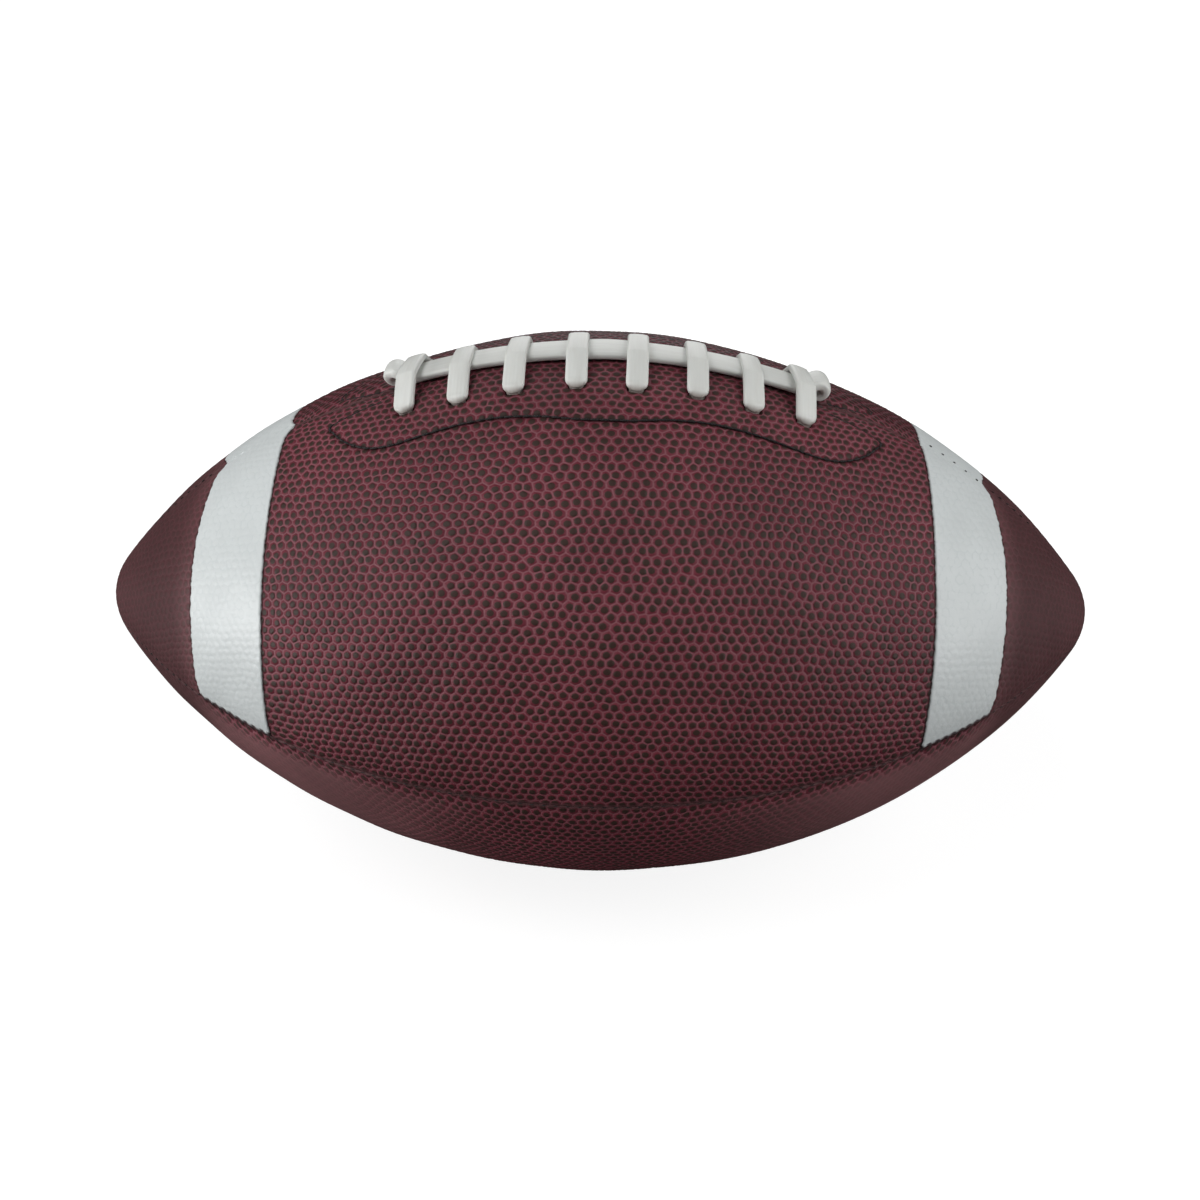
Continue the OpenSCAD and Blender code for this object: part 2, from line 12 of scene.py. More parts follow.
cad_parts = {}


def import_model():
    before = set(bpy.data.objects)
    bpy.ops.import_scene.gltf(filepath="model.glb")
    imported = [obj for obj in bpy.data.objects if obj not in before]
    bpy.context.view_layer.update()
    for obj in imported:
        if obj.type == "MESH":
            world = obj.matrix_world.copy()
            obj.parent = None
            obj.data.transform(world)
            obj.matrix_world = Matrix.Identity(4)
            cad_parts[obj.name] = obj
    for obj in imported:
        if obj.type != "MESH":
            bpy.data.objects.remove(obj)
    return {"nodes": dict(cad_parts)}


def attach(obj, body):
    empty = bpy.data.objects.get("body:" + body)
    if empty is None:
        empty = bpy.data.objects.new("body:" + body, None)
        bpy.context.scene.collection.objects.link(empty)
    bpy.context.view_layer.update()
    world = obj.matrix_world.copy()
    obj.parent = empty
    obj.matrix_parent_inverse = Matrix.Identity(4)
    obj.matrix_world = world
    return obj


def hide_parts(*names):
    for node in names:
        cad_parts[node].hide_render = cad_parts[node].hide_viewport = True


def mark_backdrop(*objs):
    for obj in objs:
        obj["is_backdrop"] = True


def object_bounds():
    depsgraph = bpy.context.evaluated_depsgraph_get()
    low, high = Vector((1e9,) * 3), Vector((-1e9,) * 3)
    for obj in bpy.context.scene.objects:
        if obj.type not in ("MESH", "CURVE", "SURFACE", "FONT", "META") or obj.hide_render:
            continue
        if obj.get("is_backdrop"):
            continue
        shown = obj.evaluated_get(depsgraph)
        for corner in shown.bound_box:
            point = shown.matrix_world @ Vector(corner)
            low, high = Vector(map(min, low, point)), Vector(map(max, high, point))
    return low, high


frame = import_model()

MM = 0.001
BODY = "root"
HIDE = "hide"        # attribute: place on the flat cut panel, in millimetres
PEBBLED = "pebbled"  # attribute: 1 where the cover is embossed, 0 on the lips and inside
SHADE = "shade"      # attribute: painted shade, 1 in seams, grooves, holes and slits; also behind the strand, towards the tips and at the stripes' edges, there partly the paint's own dark edge
RUN = "run"          # attribute: way along and across the lace, in millimetres
TUCK_SHADE = "tuck"        # attribute: 1 where the lace goes into the cover, the painted shade there
OUTWARD = "outward"  # attribute: direction out of the cover under a stitch

log = logging.getLogger("ball")


class Side(Enum):
    """Half of the ball, in front of the laces or behind them."""

    FRONT = -1
    REAR = 1


class Level(Enum):
    """Half of the ball, above the side seams or below them."""

    LOWER = -1
    UPPER = 1


class End(Enum):
    """End of the ball along its length."""

    LEFT = -1
    RIGHT = 1


def linear(code: str) -> tuple[float, float, float, float]:
    """Turns an sRGB hex colour to linear.

    Args:
        code: Six hex digits.

    Returns:
        Linear red, green and blue, and full alpha.
    """
    shares = [int(code[k:k + 2], 16) / 255 for k in (0, 2, 4)]
    red, green, blue = [c / 12.92 if c <= 0.04045 else ((c + 0.055) / 1.055) ** 2.4 for c in shares]
    return red, green, blue, 1.0


def set_inputs(tree: bpy.types.NodeTree, node: bpy.types.Node, inputs: dict) -> None:
    """Links or fills the inputs of a node.

    Args:
        tree: Node tree of the node.
        node: The node.
        inputs: Sockets or values for its inputs, by name or number.
    """
    for key, value in inputs.items():
        if isinstance(value, bpy.types.NodeSocket):
            tree.links.new(value, node.inputs[key])
        else:
            node.inputs[key].default_value = value


def add(tree: bpy.types.NodeTree, kind: str, settings: dict | None = None,
        inputs: dict | None = None) -> bpy.types.Node:
    """Adds a node with its settings and links.

    Args:
        tree: Node tree that gets the node.
        kind: Blender's type name of the node.
        settings: Values of the node's own properties.
        inputs: Sockets or values for the node's inputs, by name or number.

    Returns:
        The new node.
    """
    node = tree.nodes.new(kind)
    for name, value in (settings or {}).items():
        setattr(node, name, value)
    set_inputs(tree, node, inputs or {})
    return node


def live(node: bpy.types.Node) -> bpy.types.NodeSocket:
    """First output that the node's present settings switch on."""
    return next(socket for socket in node.outputs if socket.enabled)


def number(tree: bpy.types.NodeTree, operation: str, *values: object) -> bpy.types.NodeSocket:
    """Result of a math node on the given numbers or sockets."""
    return add(tree, "ShaderNodeMath", {"operation": operation}, dict(enumerate(values))).outputs[0]


def vector(tree: bpy.types.NodeTree, operation: str, *values: object) -> bpy.types.Node:
    """Vector math node on the given vectors or sockets."""
    return add(tree, "ShaderNodeVectorMath", {"operation": operation}, dict(enumerate(values)))


def ramp(tree: bpy.types.NodeTree, value: bpy.types.NodeSocket, start: float, stop: float,
         low: float = 0.0, high: float = 1.0, smooth: bool = True) -> bpy.types.NodeSocket:
    """Number that goes from low to high while a value goes from start to stop.

    Args:
        tree: Node tree.
        value: The value.
        start: Where the number leaves low.
        stop: Where it arrives at high.
        low: Number at the start.
        high: Number at the stop.
        smooth: True for a soft start and stop.

    Returns:
        The number.
    """
    kind = "SMOOTHSTEP" if smooth else "LINEAR"
    return add(tree, "ShaderNodeMapRange", {"interpolation_type": kind},
               {"Value": value, "From Min": start, "From Max": stop, "To Min": low, "To Max": high}
               ).outputs["Result"]


def speckle(tree: bpy.types.NodeTree, place: bpy.types.NodeSocket, size: float, detail: float,
            roughness: float = 0.5) -> bpy.types.NodeSocket:
    """Uneven patches on the flat cut panel, from 0 to 1.

    Args:
        tree: Node tree.
        place: Place on the panel, in millimetres.
        size: Size of a patch, in millimetres.
        detail: Number of finer layers.
        roughness: Share that each finer layer has of the last.

    Returns:
        The number at each place.
    """
    return add(tree, "ShaderNodeTexNoise", {"noise_dimensions": "2D"},
               {"Vector": place, "Scale": 1 / size, "Detail": detail, "Roughness": roughness}).outputs["Fac"]


def blend(tree: bpy.types.NodeTree, share: bpy.types.NodeSocket, first: bpy.types.NodeSocket | str,
          second: bpy.types.NodeSocket | str) -> bpy.types.NodeSocket:
    """Mixes two colours.

    Args:
        tree: Node tree.
        share: Share of the second colour.
        first: First colour, as a socket or six hex digits.
        second: Second colour.

    Returns:
        The mixed colour.
    """
    first, second = (linear(c) if isinstance(c, str) else c for c in (first, second))
    return add(tree, "ShaderNodeMix", {"data_type": "RGBA"}, {0: share, 6: first, 7: second}).outputs[2]


def bump(tree: bpy.types.NodeTree, height: bpy.types.NodeSocket, depth_mm: float,
         strength: float = 1.0) -> bpy.types.NodeSocket:
    """Normal of a face that goes up and down.

    Args:
        tree: Node tree.
        height: Height in shares of the depth.
        depth_mm: Depth in millimetres.
        strength: Share of the effect.

    Returns:
        The normal.
    """
    return add(tree, "ShaderNodeBump", {}, {"Strength": strength, "Distance": depth_mm * MM, "Height": height}
               ).outputs["Normal"]


def reading(tree: bpy.types.NodeTree, name: str, output: str = "Fac") -> bpy.types.NodeSocket:
    """Attribute of the mesh, read in a material as a number or a vector."""
    return add(tree, "ShaderNodeAttribute", {"attribute_name": name}).outputs[output]


def blank_material(name: str) -> tuple[bpy.types.Material, bpy.types.NodeTree, bpy.types.Node]:
    """New material, its node tree and its shader."""
    material = bpy.data.materials.new(name)
    material.use_nodes = True
    return material, material.node_tree, material.node_tree.nodes["Principled BSDF"]


def smooth_step(low: float, high: float, value: np.ndarray) -> np.ndarray:
    """Rises smoothly from 0 at low to 1 at high.

    Args:
        low: Value at which the rise starts.
        high: Value at which it ends.
        value: Where it is wanted.

    Returns:
        Shares from 0 to 1.
    """
    t = np.clip((value - low) / (high - low), 0, 1)
    return t * t * (3 - 2 * t)


def fading(size: float, start: float, stop: float, value: np.ndarray) -> np.ndarray:
    """Size that comes smoothly while a value goes from start to stop."""
    return size * smooth_step(start, stop, value)


def hump(size: float, half: float, away: np.ndarray) -> np.ndarray:
    """Smooth hump of a size and a half width, at distances from its middle."""
    return size * np.exp(-(away / half) ** 2)


def new_object(name: str, data: bpy.types.ID) -> bpy.types.Object:
    """Makes an object at the origin and links it to the scene."""
    made = bpy.data.objects.new(name, data)
    bpy.context.scene.collection.objects.link(made)
    return made


def mesh_object(name: str, points: np.ndarray, faces: list, values: dict[str, np.ndarray] | None = None,
                edges: Sequence = ()) -> bpy.types.Object:
    """Makes a smooth mesh object at the origin.

    Args:
        name: Name of the piece.
        points: Places of the vertices in millimetres, one row each.
        faces: Vertex numbers of each face, turned outwards.
        values: Named attributes of the vertices, one number or three for each.
        edges: Vertex numbers of each edge of a line without faces.

    Returns:
        The object, linked to the scene.
    """
    mesh = bpy.data.meshes.new(name)
    mesh.from_pydata((points * MM).tolist(), edges, faces)
    for key, value in (values or {}).items():
        flat = value.ndim == 1
        attribute = mesh.attributes.new(key, "FLOAT" if flat else "FLOAT_VECTOR", "POINT")
        attribute.data.foreach_set("value" if flat else "vector", value.astype(np.float32).ravel())
    mesh.shade_smooth()
    mesh.update()
    return new_object(name, mesh)


def tube_faces(rings: int, count: int, flip: bool) -> list:
    """Faces of a tube that is closed at both ends.

    Args:
        rings: Number of rings.
        count: Number of points in each ring.
        flip: True to turn the faces round.

    Returns:
        Vertex numbers of each face.
    """
    i, j = np.meshgrid(np.arange(rings - 1), np.arange(count), indexing="ij")
    k = (j + 1) % count
    quads = np.stack([i * count + j, (i + 1) * count + j, (i + 1) * count + k, i * count + k], -1)
    first = list(range(count))
    last = [(rings - 1) * count + n for n in first]
    faces = quads.reshape(-1, 4).tolist() + [first, last[::-1]]
    return [face[::-1] for face in faces] if flip else faces


@dataclass(frozen=True)
class BallForm:
    """Round of the ball and the crown under its laces as the frame has them, in millimetres.

    The lace seam runs seam_shift behind the top line out to seam_even and is back on it at seam_centred.
    """

    length: float = 283.0
    diameter: float = 154.0
    nose_r: float = 20.0
    rest_flat: float = 0.15
    crown_rise: float = 2.4
    crown_taper: float = 9.6
    crown_run: float = 53.5
    crown_blend: float = 4.0
    melt: float = 1.1
    seam_shift: float = 1.9
    seam_even: float = 112.0
    seam_centred: float = 138.0

    @property
    def ball_r(self) -> float:
        """Radius at mid-length."""
        return self.diameter / 2

    @property
    def nose_at(self) -> float:
        """Distance of the noses' centres from mid-length."""
        return self.length / 2 - self.nose_r

    @property
    def belly_r(self) -> float:
        """Radius of the arc between the noses."""
        return (self.nose_at ** 2 + self.ball_r ** 2 - self.nose_r ** 2) / (2 * (self.ball_r - self.nose_r))

    @property
    def belly_drop(self) -> float:
        """Distance of that arc's centre behind the long axis."""
        return self.belly_r - self.ball_r

    @property
    def nose_turn(self) -> float:
        """Slope at which the belly's arc meets the nose."""
        return math.atan2(self.nose_at, self.belly_drop)

    @property
    def axis_z(self) -> float:
        """Height of the long axis over the floor."""
        return self.ball_r - self.rest_flat

    @property
    def half_way(self) -> float:
        """Way along the face from mid-length to a nose's tip."""
        return self.belly_r * self.nose_turn + self.nose_r * (math.pi / 2 - self.nose_turn)

    @property
    def crown_along_r(self) -> float:
        """Radius of the crown along the ball."""
        belly = math.sqrt(self.belly_r ** 2 - self.crown_run ** 2) - self.belly_drop
        fall = self.ball_r + self.crown_rise - belly
        return (self.crown_run ** 2 + fall ** 2) / (2 * fall)

    @property
    def crown_lift(self) -> float:
        """Height of the crown's own axis over the long axis."""
        return self.crown_rise + self.crown_taper

    def along(self, way: np.ndarray) -> tuple[np.ndarray, np.ndarray, np.ndarray]:
        """Follows the face from nose to nose.

        Args:
            way: Way along the face from mid-length.

        Returns:
            Place along the ball, radius there, and slope of the face.
        """
        belly_half = self.belly_r * self.nose_turn
        belly, sign = np.abs(way) <= belly_half, np.sign(way)
        slope = np.where(belly, way / self.belly_r,
                         sign * (self.nose_turn + (np.abs(way) - belly_half) / self.nose_r))
        x = np.where(belly, self.belly_r * np.sin(slope), sign * self.nose_at + self.nose_r * np.sin(slope))
        r = np.where(belly, self.belly_r * np.cos(slope) - self.belly_drop, self.nose_r * np.cos(slope))
        return x, r, slope

    def way_at(self, x: np.ndarray | float) -> np.ndarray | float:
        """Way along the face to a place on the belly."""
        return self.belly_r * np.arcsin(x / self.belly_r)

    def belly_at(self, x: np.ndarray) -> np.ndarray:
        """Radius of the belly at a place along the ball."""
        return np.sqrt(self.belly_r ** 2 - x * x) - self.belly_drop

    def seam_at(self, x: np.ndarray) -> np.ndarray:
        """Way of the lace seam from the top line to the rear, none at the noses."""
        return self.seam_shift * smooth_step(self.seam_centred, self.seam_even, np.abs(x))

    def reach(self, x: np.ndarray, radius: np.ndarray, turn: np.ndarray) -> np.ndarray:
        """Distance of the upper face from the long axis, the crown melted into the round.

        Args:
            x: Place along the ball.
            radius: Radius of the round there.
            turn: Angle from straight up.

        Returns:
            The distance.
        """
        drop = self.crown_along_r - (self.ball_r - self.crown_taper)
        crown = np.maximum(np.sqrt(np.maximum(self.crown_along_r ** 2 - x * x, 0)) - drop, 0)
        side = self.crown_lift * np.sin(turn)
        stands = (crown > 0) & (crown > side)
        rise = self.crown_lift * np.cos(turn) + np.sqrt(np.maximum(crown ** 2 - side ** 2, 0))
        up = np.where(stands, rise, 0)
        near = np.clip(1 - np.abs(up - radius) / self.melt, 0, 1)
        return np.maximum(up, radius) + self.melt / 4 * near ** 2

    def slope_at(self, x: np.ndarray) -> np.ndarray:
        """Slope of the top line, the crown's where it stands up and the belly's past its ends."""
        share = np.clip((self.crown_run - np.abs(x)) / (2 * self.crown_blend) + 0.5, 0, 1)
        belly = np.arcsin(x / self.belly_r)
        return belly + share * (np.arcsin(np.clip(x / self.crown_along_r, -1, 1)) - belly)

    def on_skin(self, x: np.ndarray, s: np.ndarray, h: np.ndarray) -> np.ndarray:
        """Points over the upper cover.

        Args:
            x: Place along the ball.
            s: Way round it from the lace seam, to the rear.
            h: Height over the face.

        Returns:
            One row of three millimetre coordinates for each point.
        """
        x, s, h = np.broadcast_arrays(*(np.asarray(v, float) for v in (x, s, h)))
        slope = self.slope_at(x)
        radius = self.belly_at(x)
        turn = s / radius
        r = self.reach(x, radius, turn) + h * np.cos(slope)
        return np.stack([x + h * np.sin(slope), r * np.sin(turn), self.axis_z + r * np.cos(turn)], -1)


@dataclass(frozen=True)
class Pull:
    """How one cross stitch was pulled by hand away from its even place, in millimetres."""

    front: float
    rear: float
    reach: float
    lift: float


@dataclass(frozen=True)
class LaceLayout:
    """Where the lace, its holes and the sewn outline round it lie, in millimetres.

    The slits' pairs of values are for the left and the right end. The outline's shares are of
    placket_half and placket_reach, from the middle to the right.
    """

    stitches: int = 8
    pitch: float = 14.2
    width: float = 5.4
    strand_width: float = 8.4
    strand_mid: float = 0.9
    strand_mid_run: float = 6.5
    thick: float = 1.85
    strand_thick: float = 2.3
    gap: float = 0.35
    lift: float = 0.05
    hole_reach: float = 11.0
    shift: float = 1.2
    strand_shift: float = 3.0
    end_rise: float = 0.4
    pulls: tuple = (Pull(0.1, 2.2, 0.0, 0.4), Pull(-0.4, 0.0, 1.4, -0.4), Pull(-1.0, -0.2, 0.8, -0.1),
                    Pull(0.0, 0.0, 0.2, 0.0), Pull(0.4, 0.5, 0.8, 0.0), Pull(1.0, 0.4, 0.4, -0.1),
                    Pull(0.6, -0.3, 1.1, -0.4), Pull(-0.3, -2.2, 0.0, 0.4))
    run_depth: float = 6.55
    slit_steps: tuple = (3.6, 3.6)
    slit_shifts: tuple = (4.2, 3.3)
    slit_widths: tuple = (4.4, 6.6)
    placket_half: float = 70.2
    placket_reach: float = 20.5
    outline_shares: tuple = ((0, 1.07), (0.1, 1.06), (0.22, 1), (0.36, 0.96), (0.5, 0.97), (0.62, 1.01),
                             (0.74, 1.04), (0.83, 0.97), (0.92, 0.75), (0.985, 0.46), (1, 0.36),
                             (0.965, 0.28), (0.9, 0.2), (0.82, 0.14))

    @property
    def half_run(self) -> float:
        """Distance of the outer stitches from the middle of the laces."""
        return (self.stitches - 1) / 2 * self.pitch

    def slit_at(self, end: End) -> float:
        """Distance of an end slit from the middle of the laces."""
        return self.half_run + self.slit_steps[end is End.RIGHT]

    def station(self, index: int) -> float:
        """Place along the ball of one cross stitch, counted from the left."""
        return self.shift + (index - (self.stitches - 1) / 2) * self.pitch

    def hole(self, index: int, side: Side) -> tuple[float, float]:
        """Place along the ball and way from the seam of one cross stitch's hole."""
        pull = self.pulls[index]
        if side is Side.FRONT:
            return self.station(index) + pull.front, self.hole_reach + pull.reach
        return self.station(index) + pull.rear, self.hole_reach

    def strand_height(self, x: float) -> float:
        """Height of the strand's middle over the face."""
        return self.lift + self.strand_thick / 2 + self.end_rise * ((x - self.shift) / self.half_run) ** 4

    def outline(self, fine: int = 10) -> np.ndarray:
        """Sewn outline on one side of the seam, as a smooth line.

        Args:
            fine: Points for each of its corner points.

        Returns:
            Rows of place along the ball and way from the seam.
        """
        right = [(u * self.placket_half, v * self.placket_reach) for u, v in self.outline_shares]
        corners = np.array([(-u, v) for u, v in right[:0:-1]] + right)
        line = catmull(corners, fine)
        line[:, 0] += self.shift
        return line


def catmull(points: np.ndarray, fine: int) -> np.ndarray:
    """Smooth line through points.

    Args:
        points: One row for each point.
        fine: Points made for each stretch.

    Returns:
        The finer rows, the last point included.
    """
    before = np.vstack([points[:1], points[:-2]])
    start, stop = points[:-1], points[1:]
    after = np.vstack([points[2:], points[-1:]])
    rows = []
    for k in range(fine):
        t = k / fine
        square = 2 * before - 5 * start + 4 * stop - after
        cube = 3 * start - before - 3 * stop + after
        rows.append(start + ((stop - before) * t + square * t ** 2 + cube * t ** 3) / 2)
    return np.vstack([np.stack(rows, 1).reshape(-1, points.shape[1]), points[-1:]])


@dataclass(frozen=True)
class PebblePattern:
    """Roller pattern of the cover: round pebbles in staggered rows, each a little off its place."""

    spacing_mm: float = 2.42
    jitter: float = 0.16
    stretch: tuple = (0.93, 1.0, 1.0)
    bends_mm: tuple = ((4.5, 70.0), (0.5, 9.0))
    far: float = 9.0

    def draw(self, tree: bpy.types.NodeTree, hide: bpy.types.NodeSocket,
             spacing: bpy.types.NodeSocket | float) -> tuple[bpy.types.NodeSocket, bpy.types.NodeSocket]:
        """Adds the nodes of the pattern to a material or a geometry tree.

        Args:
            tree: The tree.
            hide: Place on the flat cut panel, in millimetres.
            spacing: Distance between pebbles, in millimetres.

        Returns:
            Distance from the nearest pebble's middle and from the net round it, in shares of the spacing.
        """
        bent = vector(tree, "MULTIPLY", hide, self.stretch).outputs[0]
        for size, over in self.bends_mm:
            noise = add(tree, "ShaderNodeTexNoise", {"noise_dimensions": "2D"},
                        {"Vector": hide, "Scale": 1 / over, "Detail": 0.0})
            centred = vector(tree, "SUBTRACT", noise.outputs["Color"], (0.5, 0.5, 0.5)).outputs[0]
            moved = vector(tree, "MULTIPLY", centred, (size, size, 0.0)).outputs[0]
            bent = vector(tree, "ADD", bent, moved).outputs[0]
        point = add(tree, "ShaderNodeVectorMath", {"operation": "SCALE"},
                    {0: bent, "Scale": number(tree, "DIVIDE", 1.0, spacing)}).outputs[0]
        split = add(tree, "ShaderNodeSeparateXYZ", {}, {0: point})
        row_gap = math.sqrt(3) / 2
        lowest = number(tree, "FLOOR", number(tree, "DIVIDE", split.outputs[1], row_gap))
        nearest = second = None
        for rise in (0.0, 1.0):
            row = number(tree, "ADD", lowest, rise)
            stagger = number(tree, "MULTIPLY", number(tree, "FLOORED_MODULO", row, 2.0), 0.5)
            middle = number(tree, "ROUND", number(tree, "SUBTRACT", split.outputs[0], stagger))
            for step in (-1.0, 0.0, 1.0):
                cell = number(tree, "ADD", middle, step)
                key = add(tree, "ShaderNodeCombineXYZ", {}, {0: cell, 1: row})
                chance = add(tree, "ShaderNodeTexWhiteNoise", {"noise_dimensions": "2D"},
                             {"Vector": key.outputs[0]})
                off = vector(tree, "MULTIPLY_ADD", chance.outputs["Color"],
                             (2 * self.jitter, 2 * self.jitter, 0.0),
                             (-self.jitter, -self.jitter, 0.0)).outputs[0]
                even = add(tree, "ShaderNodeCombineXYZ", {}, {0: number(tree, "ADD", cell, stagger),
                                                              1: number(tree, "MULTIPLY", row, row_gap)})
                pebble = vector(tree, "ADD", even.outputs[0], off).outputs[0]
                away = vector(tree, "DISTANCE", pebble, point).outputs["Value"]
                if nearest is None:
                    nearest, second = away, self.far
                    continue
                second = number(tree, "MINIMUM", second, number(tree, "MAXIMUM", nearest, away))
                nearest = number(tree, "MINIMUM", nearest, away)
        return nearest, number(tree, "MULTIPLY", number(tree, "SUBTRACT", second, nearest), 0.5)


@dataclass(frozen=True)
class PebbledHide:
    """Composite leather, a fibre fleece with a soft polyurethane skin embossed by a hot roller.

    The eye sees even round pebbles: dull brown tops that took the top coat, a crimson flank where the
    base colour shows, and a paler rosy net between them where the skin is pressed thin and polished.
    """

    name: str = "embossed_composite_leather"
    pattern: PebblePattern = PebblePattern()
    top: str = "36251F"
    flank: str = "6A2834"
    net: str = "7E4A52"
    plain: str = "7E5759"
    shade_colour: str = "1B0F10"
    top_shares: tuple = (0.25, 0.39)
    net_shares: tuple = (0.12, 0.02)
    dome_share: float = 0.26
    patch_mm: float = 28.0
    patch_levels: tuple = (0.3, 0.7)
    patch_tones: tuple = (0.86, 1.1)
    grain_mm: float = 0.3125
    grain_share: float = 0.12
    relief_mm: float = 0.2
    roughness: tuple = (0.49, 0.65)
    sheen: float = 0.3
    refraction: float = 1.48

    def build(self) -> bpy.types.Material:
        """Makes the node material."""
        material, tree, shader = blank_material(self.name)
        place, mask, dark = reading(tree, HIDE, "Vector"), reading(tree, PEBBLED), reading(tree, SHADE)
        from_middle, from_edge = self.pattern.draw(tree, place, self.pattern.spacing_mm)
        pebble = blend(tree, ramp(tree, from_middle, *self.top_shares), self.top, self.flank)
        netted = blend(tree, ramp(tree, from_edge, *self.net_shares), pebble, self.net)
        plain = blend(tree, mask, self.plain, netted)
        patches = speckle(tree, place, self.patch_mm, 3.0)
        tone = ramp(tree, patches, *self.patch_levels, *self.patch_tones, smooth=False)
        mottled = add(tree, "ShaderNodeVectorMath", {"operation": "SCALE"}, {0: plain, "Scale": tone})

        grain = speckle(tree, place, self.grain_mm, 4.0, 0.6)
        dome = number(tree, "MULTIPLY", ramp(tree, from_edge, 0.0, self.dome_share), mask)
        height = number(tree, "MULTIPLY_ADD", grain, self.grain_share, dome)
        set_inputs(tree, shader, {
            # the shade attribute mixes in painted shade: seams, grooves, holes, the strip behind the strand
            # and the tips
            "Base Color": blend(tree, dark, mottled.outputs[0], self.shade_colour),
            "Normal": bump(tree, height, self.relief_mm),
            "Roughness": ramp(tree, grain, 0.0, 1.0, *self.roughness, smooth=False),
            "Specular IOR Level": ramp(tree, dark, 0.0, 1.0, self.sheen, 0.0, smooth=False),
            "IOR": self.refraction})
        return material


@dataclass(frozen=True)
class StripeFilm:
    """White polyurethane transfer film, ironed over the embossed leather, which prints through it."""

    name: str = "white_transfer_film"
    film: str = "DADFDF"
    dip_shade: str = "CDD3D3"
    worn: str = "CCD1D1"
    tint_and_shade: str = "463A3D"
    pattern: PebblePattern = PebblePattern()
    dip_share: float = 0.15
    dome_share: float = 0.4
    spot_mm: float = 1.818
    spot_levels: tuple = (0.42, 0.6)
    patch_mm: float = 14.0
    grain_mm: float = 1.25
    grain_share: float = 2.2
    relief_mm: float = 0.035
    roughness: float = 0.42
    refraction: float = 1.47

    def build(self) -> bpy.types.Material:
        """Makes the node material."""
        material, tree, shader = blank_material(self.name)
        place, dark = reading(tree, HIDE, "Vector"), reading(tree, SHADE)
        from_edge = self.pattern.draw(tree, place, self.pattern.spacing_mm)[1]
        spots = ramp(tree, speckle(tree, place, self.spot_mm, 2.0), *self.spot_levels)
        # painted shade: grey dots in the hollows between the pebbles that print through the film
        marks = number(tree, "MULTIPLY", ramp(tree, from_edge, self.dip_share, 0.0), spots)
        base = blend(tree, speckle(tree, place, self.patch_mm, 3.0), self.film, self.worn)
        dotted = blend(tree, marks, base, self.dip_shade)
        grain = speckle(tree, place, self.grain_mm, 2.0)
        dome = ramp(tree, from_edge, 0.0, self.dome_share)
        height = number(tree, "MULTIPLY_ADD", grain, self.grain_share, dome)
        set_inputs(tree, shader, {
            # the shade attribute mixes in painted shade at the film's cut edges, partly the paint's own dark
            # edge, and where the film meets the seam
            "Base Color": blend(tree, dark, dotted, self.tint_and_shade),
            "Normal": bump(tree, height, self.relief_mm),
            "Roughness": self.roughness, "IOR": self.refraction})
        return material


@dataclass(frozen=True)
class LaceVinyl:
    """Extruded soft PVC over a textile core: smooth, a little waxy, with faint ribs along it."""

    name: str = "extruded_soft_pvc"
    body: str = "E0E2DE"
    tint_and_shade: str = "9C938C"
    rib_mm: float = 0.9
    rib_depth_mm: float = 0.06
    rib_strength: float = 0.25
    cloud_mm: float = 1.111
    cloud_stretch: tuple = (0.1, 1.0, 1.0)
    cloud_levels: tuple = (0.3, 0.75)
    cloud_share: float = 0.14
    tuck_shade_share: float = 0.85
    roughness: float = 0.38
    refraction: float = 1.52
    depth_share: float = 0.12
    depth_mm: float = 0.6
    depth_colour: tuple = (1.0, 0.9, 0.8)

    def build(self) -> bpy.types.Material:
        """Makes the node material."""
        material, tree, shader = blank_material(self.name)
        run, tuck = reading(tree, RUN, "Vector"), reading(tree, TUCK_SHADE)
        drawn = add(tree, "ShaderNodeMapping", {}, {"Vector": run, "Scale": self.cloud_stretch})
        cloudy = add(tree, "ShaderNodeTexNoise", {},
                     {"Vector": drawn.outputs["Vector"], "Scale": 1 / self.cloud_mm, "Detail": 4.0,
                      "Roughness": 0.6})
        soft = ramp(tree, cloudy.outputs["Fac"], *self.cloud_levels, 0.0, self.cloud_share, smooth=False)
        # cloudy soiling, and painted shade where the lace goes into the cover
        soil_and_shade = add(tree, "ShaderNodeMath", {"operation": "MULTIPLY_ADD", "use_clamp": True},
                   {0: tuck, 1: self.tuck_shade_share, 2: soft})
        bands_per_unit = 20 / math.tau
        ribs = add(tree, "ShaderNodeTexWave", {"wave_type": "BANDS", "bands_direction": "Y"},
                   {"Vector": run, "Scale": 1 / bands_per_unit / self.rib_mm, "Distortion": 0.4,
                    "Detail": 1.0})
        set_inputs(tree, shader, {
            "Base Color": blend(tree, soil_and_shade.outputs[0], self.body, self.tint_and_shade),
            "Normal": bump(tree, ribs.outputs["Fac"], self.rib_depth_mm, self.rib_strength),
            "Roughness": self.roughness, "IOR": self.refraction,
            "Subsurface Weight": self.depth_share, "Subsurface Radius": self.depth_colour,
            "Subsurface Scale": self.depth_mm * MM})
        return material


class Weave(Enum):
    """How the surface of a plain finish is figured."""

    CLOTH = "cloth"
    TWIST = "twist"
    MOULD = "mould"
    SUEDE = "suede"


